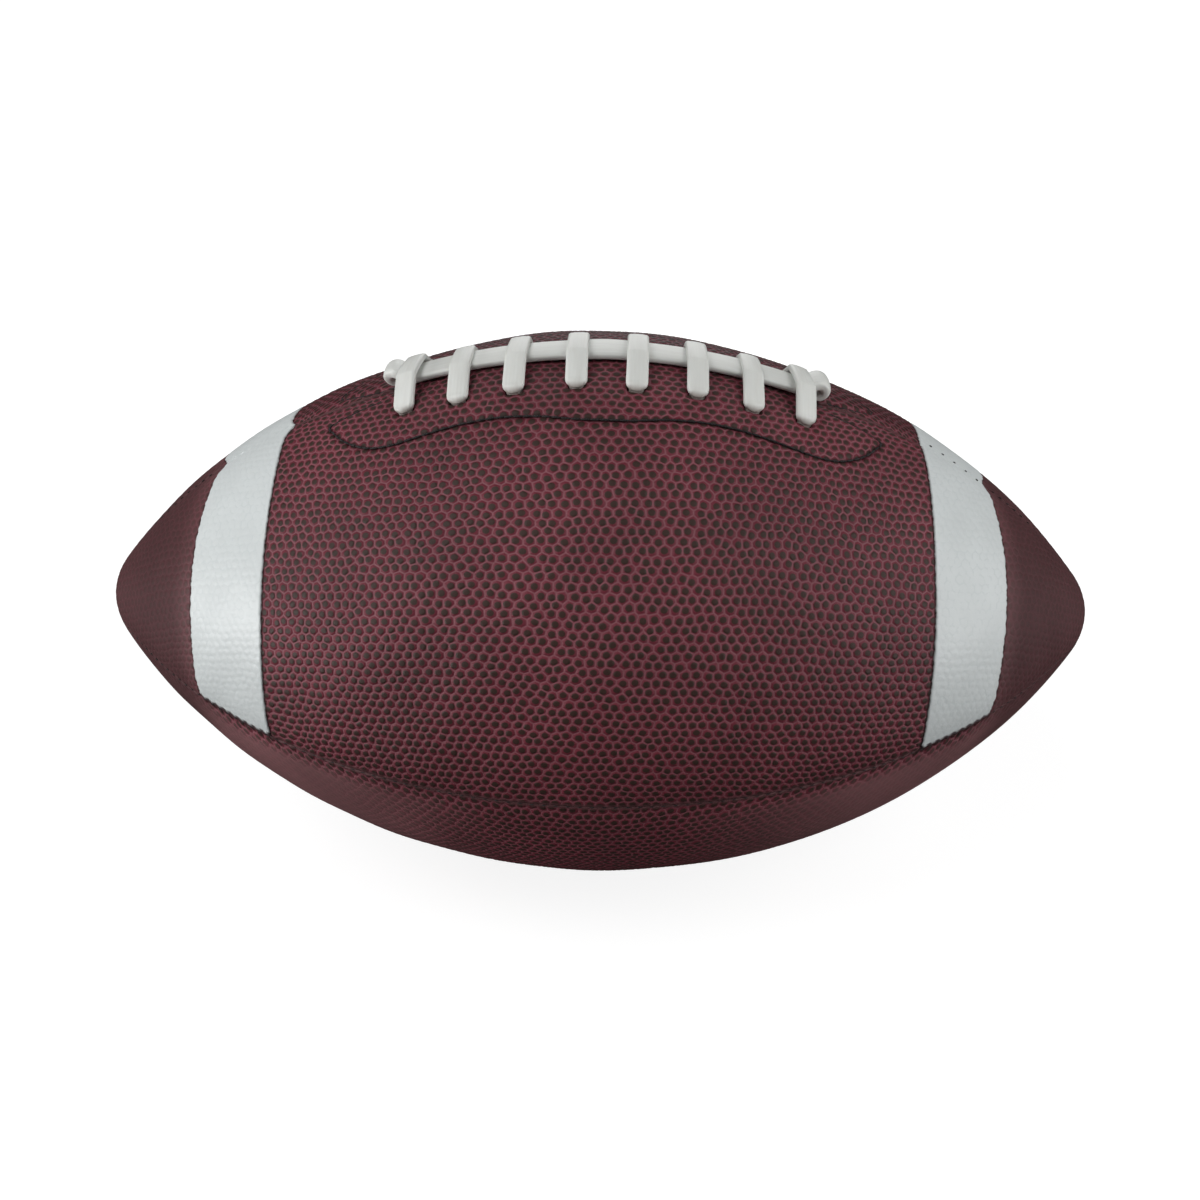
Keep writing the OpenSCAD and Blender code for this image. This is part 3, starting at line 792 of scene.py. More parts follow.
@dataclass(frozen=True)
class PlainFinish:
    """Finish of a hidden layer, thread or rubber piece, on object coordinates."""

    name: str
    light: str
    dark: str
    roughness: float
    weave: Weave
    grain_mm: float
    depth_mm: float = 0.1
    strength: float = 0.6

    def build(self) -> bpy.types.Material:
        """Makes the node material."""
        material, tree, shader = blank_material(self.name)
        place = add(tree, "ShaderNodeTexCoord").outputs["Object"]
        scale = 1 / (self.grain_mm * MM)
        if self.weave is Weave.CLOTH:
            warp, weft = (add(tree, "ShaderNodeTexWave", {"bands_direction": way},
                              {"Vector": place, "Scale": scale / 3}).outputs["Fac"] for way in "XY")
            height = number(tree, "MULTIPLY", warp, weft)
        elif self.weave is Weave.TWIST:
            height = add(tree, "ShaderNodeTexWave", {"bands_direction": "DIAGONAL"},
                         {"Vector": place, "Scale": scale / 3, "Distortion": 1.0}).outputs["Fac"]
        else:
            detail = 6.0 if self.weave is Weave.SUEDE else 2.0
            height = add(tree, "ShaderNodeTexNoise", {},
                         {"Vector": place, "Scale": scale, "Detail": detail}).outputs["Fac"]
        set_inputs(tree, shader, {
            "Base Color": blend(tree, height, self.dark, self.light),
            "Normal": bump(tree, height, self.depth_mm, self.strength), "Roughness": self.roughness})
        return material


class GeometryTree:
    """A Geometry Nodes tree that is run once on a mesh and leaves a plain mesh behind."""

    def __init__(self, name: str, sizes: dict[str, float]) -> None:
        """Starts the tree.

        Args:
            name: Name of the tree.
            sizes: Names and values of its number inputs.
        """
        self.tree = bpy.data.node_groups.new(name, "GeometryNodeTree")
        ports = self.tree.interface
        ports.new_socket("Geometry", in_out="INPUT", socket_type="NodeSocketGeometry")
        self.sizes = dict(sizes)
        for label in sizes:
            ports.new_socket(label, in_out="INPUT", socket_type="NodeSocketFloat")
        ports.new_socket("Finish", in_out="INPUT", socket_type="NodeSocketMaterial")
        ports.new_socket("Geometry", in_out="OUTPUT", socket_type="NodeSocketGeometry")
        self.given = add(self.tree, "NodeGroupInput").outputs

    def read(self, name: str, kind: str) -> bpy.types.NodeSocket:
        """Reads a named attribute of the geometry."""
        return live(add(self.tree, "GeometryNodeInputNamedAttribute", {"data_type": kind}, {"Name": name}))

    def end(self, geometry: bpy.types.NodeSocket) -> None:
        """Realizes the instances, sets the finish and closes the tree."""
        real = add(self.tree, "GeometryNodeRealizeInstances", {}, {"Geometry": geometry})
        dressed = add(self.tree, "GeometryNodeSetMaterial", {},
                      {"Geometry": real.outputs[0], "Material": self.given["Finish"]})
        add(self.tree, "NodeGroupOutput", {}, {"Geometry": dressed.outputs[0]})

    def apply(self, piece: bpy.types.Object, finish: bpy.types.Material) -> bpy.types.Object:
        """Runs the tree on a piece and keeps the result as its plain mesh.

        Args:
            piece: Object with a mesh.
            finish: Material of the result.

        Returns:
            The same object.
        """
        modifier = piece.modifiers.new(self.tree.name, "NODES")
        modifier.node_group = self.tree
        for item in self.tree.interface.items_tree:
            if item.in_out == "INPUT" and item.name in self.sizes:
                modifier[item.identifier] = self.sizes[item.name]
            elif item.in_out == "INPUT" and item.name == "Finish":
                modifier[item.identifier] = finish
        seen = piece.evaluated_get(bpy.context.evaluated_depsgraph_get())
        made = bpy.data.meshes.new_from_object(seen)
        piece.modifiers.clear()
        old = piece.data
        piece.data = made
        made.name = piece.name
        bpy.data.meshes.remove(old)
        return piece


class PebbleRelief(GeometryTree):
    """Sinks the net between the pebbles of the embossed cover."""

    SINK_SHARES = (0.12, 0.58)

    def __init__(self, name: str, hide: PebbledHide, relief_mm: float) -> None:
        """Builds the tree.

        Args:
            name: Name of the tree.
            hide: Finish whose pebbles it follows.
            relief_mm: Depth of the net below the pebbles.
        """
        super().__init__(name, {"Spacing": hide.pattern.spacing_mm, "Relief": relief_mm * MM})
        place = self.read(HIDE, "FLOAT_VECTOR")
        from_middle = hide.pattern.draw(self.tree, place, self.given["Spacing"])[0]
        sunk = ramp(self.tree, from_middle, *self.SINK_SHARES)
        depth = number(self.tree, "MULTIPLY", number(self.tree, "MULTIPLY", sunk, self.given["Relief"]),
                       self.read(PEBBLED, "FLOAT"))
        normal = add(self.tree, "GeometryNodeInputNormal").outputs[0]
        offset = add(self.tree, "ShaderNodeVectorMath", {"operation": "SCALE"},
                     {0: normal, "Scale": number(self.tree, "MULTIPLY", depth, -1.0)})
        moved = add(self.tree, "GeometryNodeSetPosition", {},
                    {"Geometry": self.given["Geometry"], "Offset": offset.outputs[0]})
        self.end(moved.outputs[0])


class StitchRow(GeometryTree):
    """Lays short rounded stitches in a row along a line."""

    def __init__(self, name: str, pitch_mm: float, length_mm: float, thick_mm: float) -> None:
        """Builds the tree.

        Args:
            name: Name of the tree.
            pitch_mm: Distance between stitches.
            length_mm: Length of one stitch.
            thick_mm: Thickness of the thread.
        """
        super().__init__(name, {"Pitch": pitch_mm * MM, "Stitch length": length_mm * MM,
                                "Thread thickness": thick_mm * MM})
        line = add(self.tree, "GeometryNodeMeshToCurve", {}, {"Mesh": self.given["Geometry"]})
        spaced = add(self.tree, "GeometryNodeResampleCurve", {"mode": "LENGTH"},
                     {"Curve": line.outputs[0], "Length": self.given["Pitch"]})
        bead = add(self.tree, "GeometryNodeMeshUVSphere", {}, {"Segments": 7, "Rings": 5, "Radius": 0.5})
        size = add(self.tree, "ShaderNodeCombineXYZ", {},
                   {"X": self.given["Stitch length"], "Y": self.given["Thread thickness"],
                    "Z": self.given["Thread thickness"]})
        tangent = add(self.tree, "GeometryNodeInputTangent").outputs[0]
        along = add(self.tree, "FunctionNodeAlignRotationToVector", {"axis": "X"}, {"Vector": tangent})
        upright = add(self.tree, "FunctionNodeAlignRotationToVector", {"axis": "Z", "pivot_axis": "X"},
                      {"Rotation": along.outputs[0], "Vector": self.read(OUTWARD, "FLOAT_VECTOR")})
        laid = add(self.tree, "GeometryNodeInstanceOnPoints", {},
                   {"Points": spaced.outputs[0], "Instance": bead.outputs["Mesh"],
                    "Rotation": upright.outputs[0], "Scale": size.outputs[0]})
        self.end(laid.outputs[0])


@dataclass(frozen=True)
class StripeEdge:
    """Edge of a white stripe, as places along the ball, in millimetres.

    The film is cut straight on the flat panel, so on the ball its edge bows, and the seam pulls it in.
    """

    top: float
    middle: float
    low: float
    pull: float
    pull_run: float = 2.8

    def at(self, turn: np.ndarray, radius: float) -> np.ndarray:
        """Place of the edge.

        Args:
            turn: Angle from the panel's upper seam.
            radius: Radius of the ball there.

        Returns:
            Places along the ball.
        """
        u = turn / (math.pi / 4)
        bow = self.top * (u - 1) * (u - 2) / 2 - self.middle * u * (u - 2) + self.low * u * (u - 1) / 2
        return bow - self.pull * np.exp(-(turn * radius / self.pull_run) ** 2)


STRIPE_EDGES = {
    (Side.FRONT, End.LEFT): (StripeEdge(82.9, 81.8, 83.8, 1.7), StripeEdge(103.1, 104.2, 105.6, 1.7)),
    (Side.FRONT, End.RIGHT): (StripeEdge(84.8, 83.3, 84.4, 0.0), StripeEdge(104.7, 105.0, 104.9, 1.3)),
    (Side.REAR, End.LEFT): (StripeEdge(82.7, 85.3, 85.0, 1.7), StripeEdge(103.1, 105.3, 105.0, 1.7)),
    (Side.REAR, End.RIGHT): (StripeEdge(84.5, 87.5, 87.0, 0.0), StripeEdge(103.9, 108.0, 107.5, 0.8)),
}


@dataclass(frozen=True)
class CoverShadeAndFade:
    """Painted shade that darkens the cover, and where its pebbles fade away.

    Each entry is a share and the two places, in millimetres, between which it comes.
    """

    # painted shade: towards the tips, in the seams, in the lower seams under the stripes and on the strip
    # behind the strand
    tips_dark: tuple = (0.6, 98.0, 112.0)
    seams_dark: tuple = (0.5, 1.6, 0.5)
    stripe_seams_dark: tuple = (0.8, 1.5, 0.7)
    rear_dark: tuple = (0.34, 2.0, 6.0)
    rear_light: tuple = (1.0, 38.0, 22.0)
    tips_worn: tuple = (0.7, 100.0, 118.0)
    lower_plainer: tuple = (0.85, 15.0, 75.0)
    lower_kept: tuple = (1.0, 1.0, 7.0)


@dataclass(frozen=True)
class LaceMarks:
    """What sewing and lacing press into the cover, in millimetres.

    A hump is its height and half width. A cut and a painted shade are a size and the two distances from the
    hole's edge between which they come.
    """

    margin: float = 8.0
    past_seam: float = 1.0
    swell: tuple = (0.3, -0.9, 1.6)
    groove: tuple = (0.4, 0.55)
    groove_shares: tuple = (0.9, 0.1)
    groove_half: float = 0.4
    hole_half: float = 1.1
    hole_inward: float = 0.25
    hole_r: float = 0.8
    hole_dimple: tuple = (0.2, 1.5)
    hole_cut: tuple = (4.2, 0.1, -0.5)
    hole_shade: tuple = (0.5, 0.9, -0.1)
    slit_dimple: tuple = (0.8, 1.6)
    slit_cut: tuple = (4.2, 0.1, -0.7)
    slit_shade: tuple = (0.9, 0.9, -0.2)


@dataclass
class CoverPanel:
    """One of the four cover panels, cut flat, embossed and sewn with its edges turned in.

    Lengths are in millimetres. The valley, a pucker, the film's groove and its shade are humps, each
    with a height and a half width. The film's recess is a depth and the two distances from the film's
    edge between which it comes. A wave is its height, its length along the ball and that across.
    """

    form: BallForm
    laces: LaceLayout
    side: Side
    level: Level
    cover_t: float = 2.3
    turn_in: float = 5.0
    lip: float = 0.4
    seam_gap: float = 0.02
    step: float = 0.74
    face_columns: int = 160
    inner_columns: int = 12
    shade_and_fade: CoverShadeAndFade = CoverShadeAndFade()
    marks: LaceMarks = LaceMarks()
    valley: tuple = (0.42, 4.0)
    valley_closed: float = 0.7
    pucker: tuple = (0.1, 1.6)
    pucker_pitch: float = 2.9
    full_width: float = 60.0
    waves: tuple = ((0.10, 9.3, 7.9), (0.07, 5.1, 6.3))
    wave_shift: float = 1.1
    teeth: tuple = (0.45, 0.2)
    teeth_pitch: float = 1.232
    film_recess: tuple = (0.36, -0.12, 0.12)
    film_groove: tuple = (0.16, 0.35)
    film_shade: tuple = (0.75, 0.5)
    film_shade_out: float = 0.25
    edge_steps: tuple = (-1.2, -0.8, -0.5, -0.25, 0.0, 0.25, 0.5, 0.8, 1.2)
    wall_shares: tuple = (1.0, 0.6, 0.25)
    lip_turns: tuple = (90, 72, 54, 36, 18)
    tip_clear: float = 0.25
    tip_shares: tuple = (0.1, 0.28, 0.3)
    tip_flat: float = 1e-3
    most_turn: float = math.pi / 5
    most_share: float = 0.6
    plain_lip: float = 0.4
    pebbles_from: float = 0.7
    roller_steps: tuple = (400.0, 150.0)
    valve_r: float = 3.55
    valve_rim: float = 0.42
    valve_turn: float = 3 * math.pi / 4
    valve_press: float = 4.0
    bow_from: float = 76.0
    bow_fade: float = 18.0
    stripe_fade: float = 1.5
    lips_open: float = 0.7
    lips_closed: float = 0.5

    @property
    def name(self) -> str:
        """Name of the piece and of the node that it stands for."""
        return f"panel_{self.side.name.lower()}_{self.level.name.lower()}"

    def stripe_span(self, end: End) -> tuple[float, float]:
        """Edges of this panel's stripe at one end, as places along the ball."""
        return tuple(sorted(end.value * edge.middle for edge in STRIPE_EDGES[self.side, end]))

    def bow(self, way: np.ndarray, turn: np.ndarray) -> np.ndarray:
        """Way by which the rings near the stripes bend away from straight across.

        Args:
            way: Way along the face of each ring.
            turn: Angle from the panel's upper seam.

        Returns:
            The way at each point, in the direction of the ring's own way.
        """
        off = np.zeros(np.broadcast(way, turn).shape)
        if self.level is Level.LOWER:
            return off
        for end in End:
            starts, moves = [], []
            for edge in STRIPE_EDGES[self.side, end]:
                starts.append(self.form.way_at(edge.middle))
                place_on = edge.at(turn, float(self.form.belly_at(np.array(edge.middle))))
                moves.append(self.form.way_at(place_on) - starts[-1])
            out = end.value * way
            share = np.clip((out - starts[0]) / (starts[1] - starts[0]), 0, 1)
            near = smooth_step(self.bow_from, starts[0], out)
            near *= smooth_step(starts[1] + self.bow_fade, starts[1], out)
            off += end.value * near * (moves[0] * (1 - share) + moves[1] * share)
        return off

    def on_stripe(self, x: np.ndarray) -> np.ndarray:
        """Share from 0 to 1 of being on a stripe, at places along the ball."""
        return self.beside_stripe(x) if self.level is Level.UPPER else np.zeros(np.shape(x))

    def beside_stripe(self, x: np.ndarray) -> np.ndarray:
        """Share from 0 to 1 of lying at a stripe of this side, at places along the ball."""
        share = np.zeros(np.shape(x))
        for end in End:
            inner, outer = sorted(abs(edge) for edge in self.stripe_span(end))
            out, fade = end.value * x, self.stripe_fade
            share += smooth_step(inner - fade, inner, out) * smooth_step(outer + fade, outer, out)
        return share

    def tight(self, x: np.ndarray) -> np.ndarray:
        """Share of their width that the lips have at the upper seam, least where the film closes it."""
        if self.level is Level.LOWER:
            return np.ones(np.shape(x))
        return self.lips_open - self.lips_closed * self.on_stripe(x)

    def ways(self) -> np.ndarray:
        """Ways along the face at which the panel has its rings, closer at the stripes' edges."""
        half = self.form.half_way - self.tip_clear
        ways = np.linspace(-half, half, int(2 * half / self.step))
        if self.level is Level.UPPER:
            for end in End:
                for edge in self.stripe_span(end):
                    at = self.form.way_at(edge)
                    ways = ways[np.abs(ways - at) > self.edge_steps[-1] + self.step / 3]
                    ways = np.append(ways, at + np.array(self.edge_steps))
        return np.sort(ways)

    def columns(self) -> dict[str, slice]:
        """Where each part of a ring's loop starts and stops."""
        wall, lip = len(self.wall_shares), len(self.lip_turns)
        counts = {"wall_a": wall, "lip_a": lip, "face": self.face_columns + 1, "lip_b": lip, "wall_b": wall,
                  "flange_b": 2, "inner": self.inner_columns - 1, "flange_a": 2}
        at, spans = 0, {}
        for key, count in counts.items():
            spans[key] = slice(at, at + count)
            at += count
        spans["all"] = slice(0, at)
        return spans

    def place(self, way: np.ndarray, height: np.ndarray | None = None,
              over: float = 0.0) -> dict[str, np.ndarray]:
        """Places the loops of the panel's rings.

        Args:
            way: Way along the face of each ring.
            height: Height added at each point of the loops, outwards.
            over: Way by which the edges reach past the middle of their seams' gaps.

        Returns:
            Arrays with one row for each ring: x, y and z, the run across from the upper seam, the way
            from the top line, the width of the panel.
        """
        form, spans = self.form, self.columns()
        x0, r0, slope = (v[:, None] for v in form.along(way))
        size = (len(way), spans["all"].stop)
        if height is None:
            height = np.zeros(size)
        upper, side = self.level is Level.UPPER, self.side.value
        shift = form.seam_at(x0) / np.maximum(r0, self.tip_flat)

        def world(turn: np.ndarray) -> np.ndarray:
            """Angle from straight up at a turn from the panel's upper seam."""
            if not upper:
                return side * (turn + math.pi / 2)
            return shift + side * turn * (1 - side * shift * 2 / math.pi)

        def outer(turn: np.ndarray) -> np.ndarray:
            """Distance of the face from the long axis at a turn from the upper seam."""
            x, radius = (np.broadcast_to(v, turn.shape) for v in (x0, r0))
            return form.reach(x, radius, np.abs(world(turn))) if upper else radius

        arc = r0 * math.pi / 2
        gap, full_lip, thick = (np.minimum(length, share * arc) for length, share in
                                zip((self.seam_gap, self.lip, self.cover_t), self.tip_shares))
        gap = gap - over
        lips = {"a": full_lip * self.tight(x0), "b": full_lip}
        lean, deep, aside, turn = (np.zeros(size) for _ in range(4))
        beta = np.radians(np.array(self.lip_turns))
        for letter, turned in (("a", slice(None)), ("b", slice(None, None, -1))):
            lip = lips[letter]
            wall = lip + (self.turn_in - lip) * np.array(self.wall_shares)
            deep[:, spans["wall_" + letter]] = wall[:, turned]
            lean[:, spans["wall_" + letter]] = math.pi / 2
            aside[:, spans["wall_" + letter]] = gap
            deep[:, spans["lip_" + letter]] = (lip * (1 - np.cos(beta)))[:, turned]
            aside[:, spans["lip_" + letter]] = (gap + lip * (1 - np.sin(beta)))[:, turned]
            lean[:, spans["lip_" + letter]] = beta[turned]
            flange = np.array([self.turn_in, self.cover_t])[::1 if letter == "b" else -1]
            deep[:, spans["flange_" + letter]] = flange
            aside[:, spans["flange_" + letter]] = gap + thick
        deep[:, spans["inner"]] = self.cover_t
        aside = aside - np.maximum(height, 0) * np.sin(lean)
        deep = deep - np.where(height > 0, height * np.cos(lean), height)

        for letter, seam in (("a", 0.0), ("b", math.pi / 2)):
            base = outer(np.full((size[0], 1), seam))
            for part in ("wall_", "lip_", "flange_"):
                span = spans[part + letter]
                radius = np.maximum(base - deep[:, span] * np.cos(slope), self.tip_flat)
                angle = np.arcsin(np.clip(aside[:, span] / radius, -1, 1))
                angle = np.minimum(angle, self.most_turn)
                turn[:, span] = angle if letter == "a" else seam - angle
        edges = ((gap + lips[letter]) / np.maximum(r0, self.tip_flat) for letter in "ab")
        from_a, from_b = (np.arcsin(np.clip(edge, 0, self.most_share)) for edge in edges)
        share = np.linspace(0, 1, self.face_columns + 1)
        turn[:, spans["face"]] = from_a + (math.pi / 2 - from_b - from_a) * share
        first, last = turn[:, spans["flange_b"]][:, -1:], turn[:, spans["flange_a"]][:, :1]
        turn[:, spans["inner"]] = first + (last - first) * np.linspace(0, 1, self.inner_columns + 1)[1:-1]

        run = turn * r0
        x0, r0, slope = form.along(way[:, None] + self.bow(way[:, None], turn))
        shift = form.seam_at(x0) / np.maximum(r0, self.tip_flat)
        radius = outer(turn) - deep * np.cos(slope)
        angle = world(turn)
        low, high = spans["wall_a"], spans["wall_b"]
        run[:, low] -= deep[:, low]
        run[:, high] += deep[:, high]
        return {"x": x0 - deep * np.sin(slope), "y": radius * np.sin(angle),
                "z": form.axis_z + radius * np.cos(angle),
                "run": run, "across": side * angle * r0, "arc": arc}

    def film_seat(self, from_edge: np.ndarray) -> np.ndarray:
        """Depth to which the film's seat is pressed in, at distances inward from the film's edge."""
        groove, half = self.film_groove
        return fading(*self.film_recess, from_edge) + hump(groove, half, from_edge + half)

    def seam_teeth(self, along: np.ndarray) -> np.ndarray:
        """Unevenness of an edge between the stitches that pull it in."""
        coarse, fine = self.teeth
        return (coarse * np.sin(along * math.tau / self.pucker_pitch)
                + fine * np.sin(along * math.tau / self.teeth_pitch))

    def relief(self, way: np.ndarray) -> tuple[np.ndarray, np.ndarray]:
        """Height of everything that is pressed or sewn into the cover, and the painted shade on it.

        Args:
            way: Way along the face of each ring.

        Returns:
            Height over the even face and share of painted shade colour, at each point of the loops.
        """
        flat, shade_and_fade = self.place(way), self.shade_and_fade
        run, arc, along = flat["run"], flat["arc"], way[:, None]
        x = np.broadcast_to(self.form.along(way)[0][:, None], run.shape)
        fit = np.minimum(arc / self.full_width, 1)
        closed = self.valley_closed * self.on_stripe(x)
        (coarse, long, wide), (fine, slant_long, slant_wide) = self.waves
        shift = self.wave_shift * self.side.value
        height = coarse * np.sin(along / long + shift) * np.sin(run / wide + self.level.value)
        height = fit * (height + fine * np.sin(along / slant_long + run / slant_wide))
        # painted shade: the cover darker towards the tips
        dark = fading(*shade_and_fade.tips_dark, np.abs(x))
        if self.level is Level.LOWER:
            # painted shadow in the lower panels' seam under the stripes, ragged along the stitches
            uneven = fading(*shade_and_fade.stripe_seams_dark, run + self.seam_teeth(along))
            dark = np.maximum(dark, self.beside_stripe(x) * uneven)
        for near, share in ((run, 1 - closed), (arc - run, 1.0)):
            height -= share * fit * hump(*self.valley, np.maximum(near, 0))
            height += fit * np.sin(along * math.tau / self.pucker_pitch) * hump(*self.pucker, near)
            # painted shade in the lips of each seam
            dark = np.maximum(dark, fading(*shade_and_fade.seams_dark, near))
        if self.level is Level.UPPER:
            more, shade = self.lace_relief(x, run, flat["across"])
            height += more
            if self.side is Side.REAR:
                # painted shade on the strip behind the strand, which faces away from the lamps
                dark = np.maximum(dark, fading(*shade_and_fade.rear_dark, run) * fading(*shade_and_fade.rear_light, run))
            dark = np.maximum(dark, shade)
            for end in End:
                low, high = (self.form.way_at(edge) for edge in self.stripe_span(end))
                from_edge = np.minimum(along - low, high - along)
                height -= self.film_seat(from_edge)
                # painted shade in the step beside each film edge, partly the paint's own dark edge
                dark = np.maximum(dark, hump(*self.film_shade, from_edge + self.film_shade_out))
        outside = np.zeros(run.shape)
        outside[:, :self.columns()["flange_b"].start] = 1
        return height * outside, dark * outside

    def outline_distance(self, px: np.ndarray, py: np.ndarray) -> np.ndarray:
        """Distance inside the sewn outline, negative outside it.

        Args:
            px: Place along the ball.
            py: Way from the top line.

        Returns:
            The distance of each point.
        """
        line, margin = self.laces.outline(), self.marks.margin
        best = np.full(px.shape, np.inf)
        for (ax, ay), (bx, by) in zip(line[:-1], np.diff(line, axis=0)):
            t = np.clip(((px - ax) * bx + (py - ay) * by) / (bx * bx + by * by), 0, 1)
            best = np.minimum(best, np.hypot(px - ax - t * bx, py - ay - t * by))
        foot = [[line[-1, 0] - margin / 2, -margin], [line[0, 0] + margin / 2, -margin]]
        closed = np.vstack([line, foot, line[:1]])
        inside = np.zeros(px.shape, bool)
        for (ax, ay), (bx, by) in zip(closed[:-1], closed[1:]):
            crosses = (ay > py) != (by > py)
            with np.errstate(divide="ignore", invalid="ignore"):
                inside ^= crosses & (px < ax + (py - ay) * (bx - ax) / (by - ay))
        return np.where(inside, best, -best)

    def lace_relief(self, x: np.ndarray, run: np.ndarray,
                    across: np.ndarray) -> tuple[np.ndarray, np.ndarray]:
        """Height and painted shade of the sewn outline, the lace holes and the end slits.

        Args:
            x: Place along the ball.
            run: Way from the lace seam.
            across: Way from the top line.

        Returns:
            Height and share of painted shade colour.
        """
        laces, marks = self.laces, self.marks
        near = np.abs(x - laces.shift) < laces.placket_half + marks.margin
        near &= (across < laces.placket_reach + marks.margin) & (run > -marks.past_seam)
        px, py = x[near], across[near]
        signed = self.outline_distance(px, py)
        raised = fading(*marks.swell, signed) - hump(*marks.groove, signed)
        # painted shade in the groove of the sewn outline, faint on the rear
        shade = hump(marks.groove_shares[self.side is Side.REAR], marks.groove_half, signed)
        for index in range(laces.stitches):
            hole_x, reach = laces.hole(index, self.side)
            dx = np.maximum(np.abs(px - hole_x) - marks.hole_half, 0)
            away = np.hypot(dx, py - reach + marks.hole_inward) - marks.hole_r
            raised -= hump(*marks.hole_dimple, np.maximum(away, 0)) + fading(*marks.hole_cut, away)
            # painted shade round each lace hole
            shade = np.maximum(shade, fading(*marks.hole_shade, away))
        half_w, half_t = laces.width / 2 + laces.gap, laces.thick / 2 + laces.gap
        for end in End:
            centre = laces.slit_shifts[end is End.RIGHT] * self.side.value
            dy = np.maximum(np.abs(py - centre) - (half_w - half_t), 0)
            away = np.hypot(px - laces.shift - end.value * laces.slit_at(end), dy) - half_t
            raised -= hump(*marks.slit_dimple, np.maximum(away, 0)) + fading(*marks.slit_cut, away)
            # painted shade round each end slit
            shade = np.maximum(shade, fading(*marks.slit_shade, away))
        height, dark = np.zeros(run.shape), np.zeros(run.shape)
        height[near], dark[near] = raised, shade
        return height, dark

    def open_valve(self, points: np.ndarray, way: np.ndarray, run: np.ndarray) -> np.ndarray:
        """Opens the round hole for the valve in the middle of the panel.

        Args:
            points: Places of the panel's points.
            way: Way along the face of each ring.
            run: Way of each point from the panel's middle line.

        Returns:
            The points, those at the hole's edge drawn onto it and those inside pressed in.
        """
        points = points.copy()
        away = np.hypot(way[:, None], run)
        away[:, self.columns()["flange_b"].start:] = np.inf
        outward = np.array([0.0, math.sin(self.valve_turn), math.cos(self.valve_turn)])
        middle = np.array([0.0, 0.0, self.form.axis_z]) + self.form.ball_r * outward
        edge = np.abs(away - self.valve_r) < self.valve_rim
        share = self.valve_r / away[edge]
        points[edge] = middle + (points[edge] - middle) * share[:, None]
        points[away < self.valve_r - self.valve_rim] -= self.valve_press * outward
        return points

    def values(self, way: np.ndarray, at: dict[str, np.ndarray], dark: np.ndarray) -> dict[str, np.ndarray]:
        """Attributes of the panel's points for its finish.

        Args:
            way: Way along the face of each ring.
            at: Places as place() gives them.
            dark: Share of painted shade colour.

        Returns:
            Flat attribute arrays by name.
        """
        along = np.broadcast_to(way[:, None], at["run"].shape)
        across = at["run"] - at["arc"] / 2
        shift = self.roller_steps[0] * self.level.value + self.roller_steps[1] * self.side.value
        hide = np.stack([along, across + shift, np.zeros_like(along)], -1)
        near = np.minimum(at["run"], at["arc"] - at["run"])
        bare, out = self.lip * self.plain_lip, np.abs(along)
        pebbled = smooth_step(bare, bare + self.pebbles_from, near)
        pebbled *= 1 - fading(*self.shade_and_fade.tips_worn, out)
        if self.level is Level.LOWER:
            # the lower panels turn plainer and lighter towards the ends, where their pebbles flatten
            pebbled *= 1 - fading(*self.shade_and_fade.lower_plainer, out) * fading(*self.shade_and_fade.lower_kept, near)
        pebbled[:, self.columns()["flange_b"].start:] = 0
        return {HIDE: hide.reshape(-1, 3), PEBBLED: pebbled.ravel(), SHADE: dark.ravel()}

    def make(self, relief: PebbleRelief, finish: bpy.types.Material) -> bpy.types.Object:
        """Builds the panel and dresses it.

        Args:
            relief: Tree that sinks the net between the pebbles.
            finish: Cover material.

        Returns:
            The finished piece.
        """
        way = self.ways()
        height, dark = self.relief(way)
        at = self.place(way, height)
        z = np.maximum(at["z"], 0)
        points = np.stack([at["x"], at["y"], z], -1)
        if self.side is Side.REAR and self.level is Level.LOWER:
            points = self.open_valve(points, way, at["run"] - at["arc"] / 2)
        points = points.reshape(-1, 3)
        faces = tube_faces(len(way), self.columns()["all"].stop, self.side is Side.FRONT)
        piece = mesh_object(self.name + "_skin", points, faces, self.values(way, at, dark))
        return relief.apply(piece, finish)


